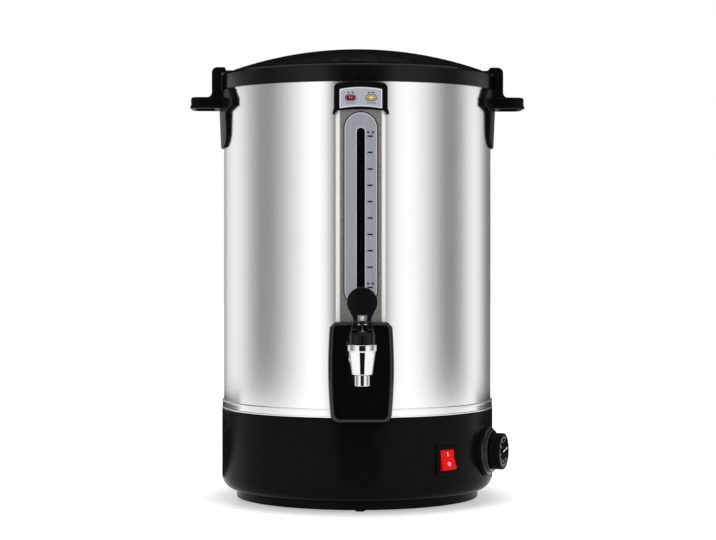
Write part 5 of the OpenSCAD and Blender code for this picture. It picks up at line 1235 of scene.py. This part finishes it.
ticks = [dial_bar(angle, 12.9, 14.6, 0.24) for angle in POINTER_ANGLE + np.radians(np.arange(50, 311, 10))]
numbers = [dial_number(str(1 + i), POINTER_ANGLE + math.radians(60 + 40 * i)) for i in range(7)]
pointer = [dial_bar(POINTER_ANGLE, -2.0, 13.5, 0.7)]
ink("knob_marks", [outward(shape, KNOB_TURN, KNOB_LEVEL) for shape in ticks + numbers + pointer], "pale_ink",
    "thermostat_knob")

# %% Fit the switch and its rocker
SWITCH_TURN, SWITCH_LEVEL, PIVOT_OUT = math.radians(37.3), 48.0, BASE_R - 1.0
BEZEL_HALF, BEZEL_HALF_HIGH, BODY_LESS, ROCKER_HALF, ROCKER_R = 13.0, 14.5, 2.2, 8.3, 10.4
TILT, TOP_V, LOW_V, FACE_OUT, FACE_RISE, ARC_POINTS = math.radians(15), 8.96, 8.49, 4.2, 0.12, 12
switch_shapes = [block_outline(BEZEL_HALF - BODY_LESS, BEZEL_HALF_HIGH - BODY_LESS, 0.6),
                 block_outline(BEZEL_HALF, BEZEL_HALF_HIGH, 1.6),
                 block_outline(ROCKER_HALF + 0.3, ROCKER_R + 0.2, 0.4)]
switch_levels = (BASE_R - 23.9, BASE_R - 1.9, BASE_R + 2.0, PIVOT_OUT - ROCKER_R - 1.0)
switch_well = well(*switch_shapes, switch_levels, 1.2, 0.6)
build("switch_moulded", [outward(switch_well, SWITCH_TURN, SWITCH_LEVEL)], ["switch_body"])


def rocker_face(along):
    """The rocker's face is two planes that meet over its pivot: w = 4.2 + 0.12 |v|."""
    return FACE_OUT + FACE_RISE * np.abs(along)


def on_rocker(shape):
    """Carry a shape drawn on the untilted rocker as (u, v, w) to its place: turn (v, w) by the tilt."""
    points, faces = shape
    u, v, w = points.T
    up, out = v * math.cos(TILT) + w * math.sin(TILT), w * math.cos(TILT) - v * math.sin(TILT) + PIVOT_OUT
    return outward((np.stack([u, up, out], axis=1), faces), SWITCH_TURN, SWITCH_LEVEL)


right_arc = np.linspace(math.atan2(-6, LOW_V), math.atan2(rocker_face(TOP_V), TOP_V), ARC_POINTS)
arc_line = on_circle(right_arc, ROCKER_R)
rocker_corners = np.vstack([arc_line, [(0, FACE_OUT)], arc_line[::-1] * (-1, 1)])
arc_radii = [0.3] + [0.0] * (ARC_POINTS - 2) + [0.7]
rocker = plate(outline(rocker_corners, arc_radii + [3.0] + arc_radii[::-1], 4), -ROCKER_HALF, ROCKER_HALF, 0.7, 0.7,
               cap_rows=3)
pivot_pin = turned(box_of(0, -9.7, 1.5, 9.7), 32)
across = [on_rocker(facing(shape, order=(2, 0, 1))) for shape in (rocker, pivot_pin)]
build("rocker_moulded", across, ["switch_rocker"])

# %% Mark the rocker
RING_R, RING_HOLE, RING_PLACE, BAR_PLACE = 1.9, 1.15, (0, -4.4), (0, 5.0)
ink_back = lambda flat: rocker_face(flat[:, 1]) - INK_DEPTH
ink_front = lambda flat: rocker_face(flat[:, 1]) + INK_HEIGHT
mark_on = plate(block_outline(0.5, RING_R, 0.1, BAR_PLACE, steps=2), ink_back, ink_front, INK_EDGE, steps=1,
                cap_rows=1)
mark_off = frame_plate(round_outline(RING_R, 40, RING_PLACE), round_outline(RING_HOLE, 40, RING_PLACE), ink_back,
                       ink_front, INK_EDGE, INK_EDGE, steps=1)
ink("rocker_marks", [on_rocker(mark_on), on_rocker(mark_off)], "pale_ink", "switch_rocker")

# %% Fit the reset button, the power inlet and its pins
BUTTON_R, BUTTON_LOW, BUTTON_HIGH = 3, BASE_R - 16.0, BASE_R + 6.7
button = rounded([(0, BUTTON_LOW), (BUTTON_R, BUTTON_LOW), (BUTTON_R, BUTTON_HIGH), (0, BUTTON_HIGH + 0.05)],
                 [0, 0.3, 0.8, 0], 6)
build("reset_button_moulded", [turned_out(button, RESET_TURN, INLET_LEVEL, 48)], ["reset_button"])
inlet_well = well(block_outline(14, 10, 1.5), block_outline(25, 11.5, 4.0), block_outline(12.2, 8.2, 2.4),
                  (BASE_R - 26.9, BASE_R + 0.6, BASE_R + 2.6, BASE_R - 14.0), 0.7, 0.5)
build("inlet_moulded", [outward(inlet_well, INLET_TURN, INLET_LEVEL)], ["power_inlet"])
pins = [plate(block_outline(1.0, 2.0, 0.35, place), BASE_R - 32.4, BASE_R - 2.5, 0.7, 0.1)
        for place in ((-7, -1), (7, -1), (0, 3))]
build("inlet_pins_drawn", [outward(pin, INLET_TURN, INLET_LEVEL) for pin in pins], ["inlet_pins"])
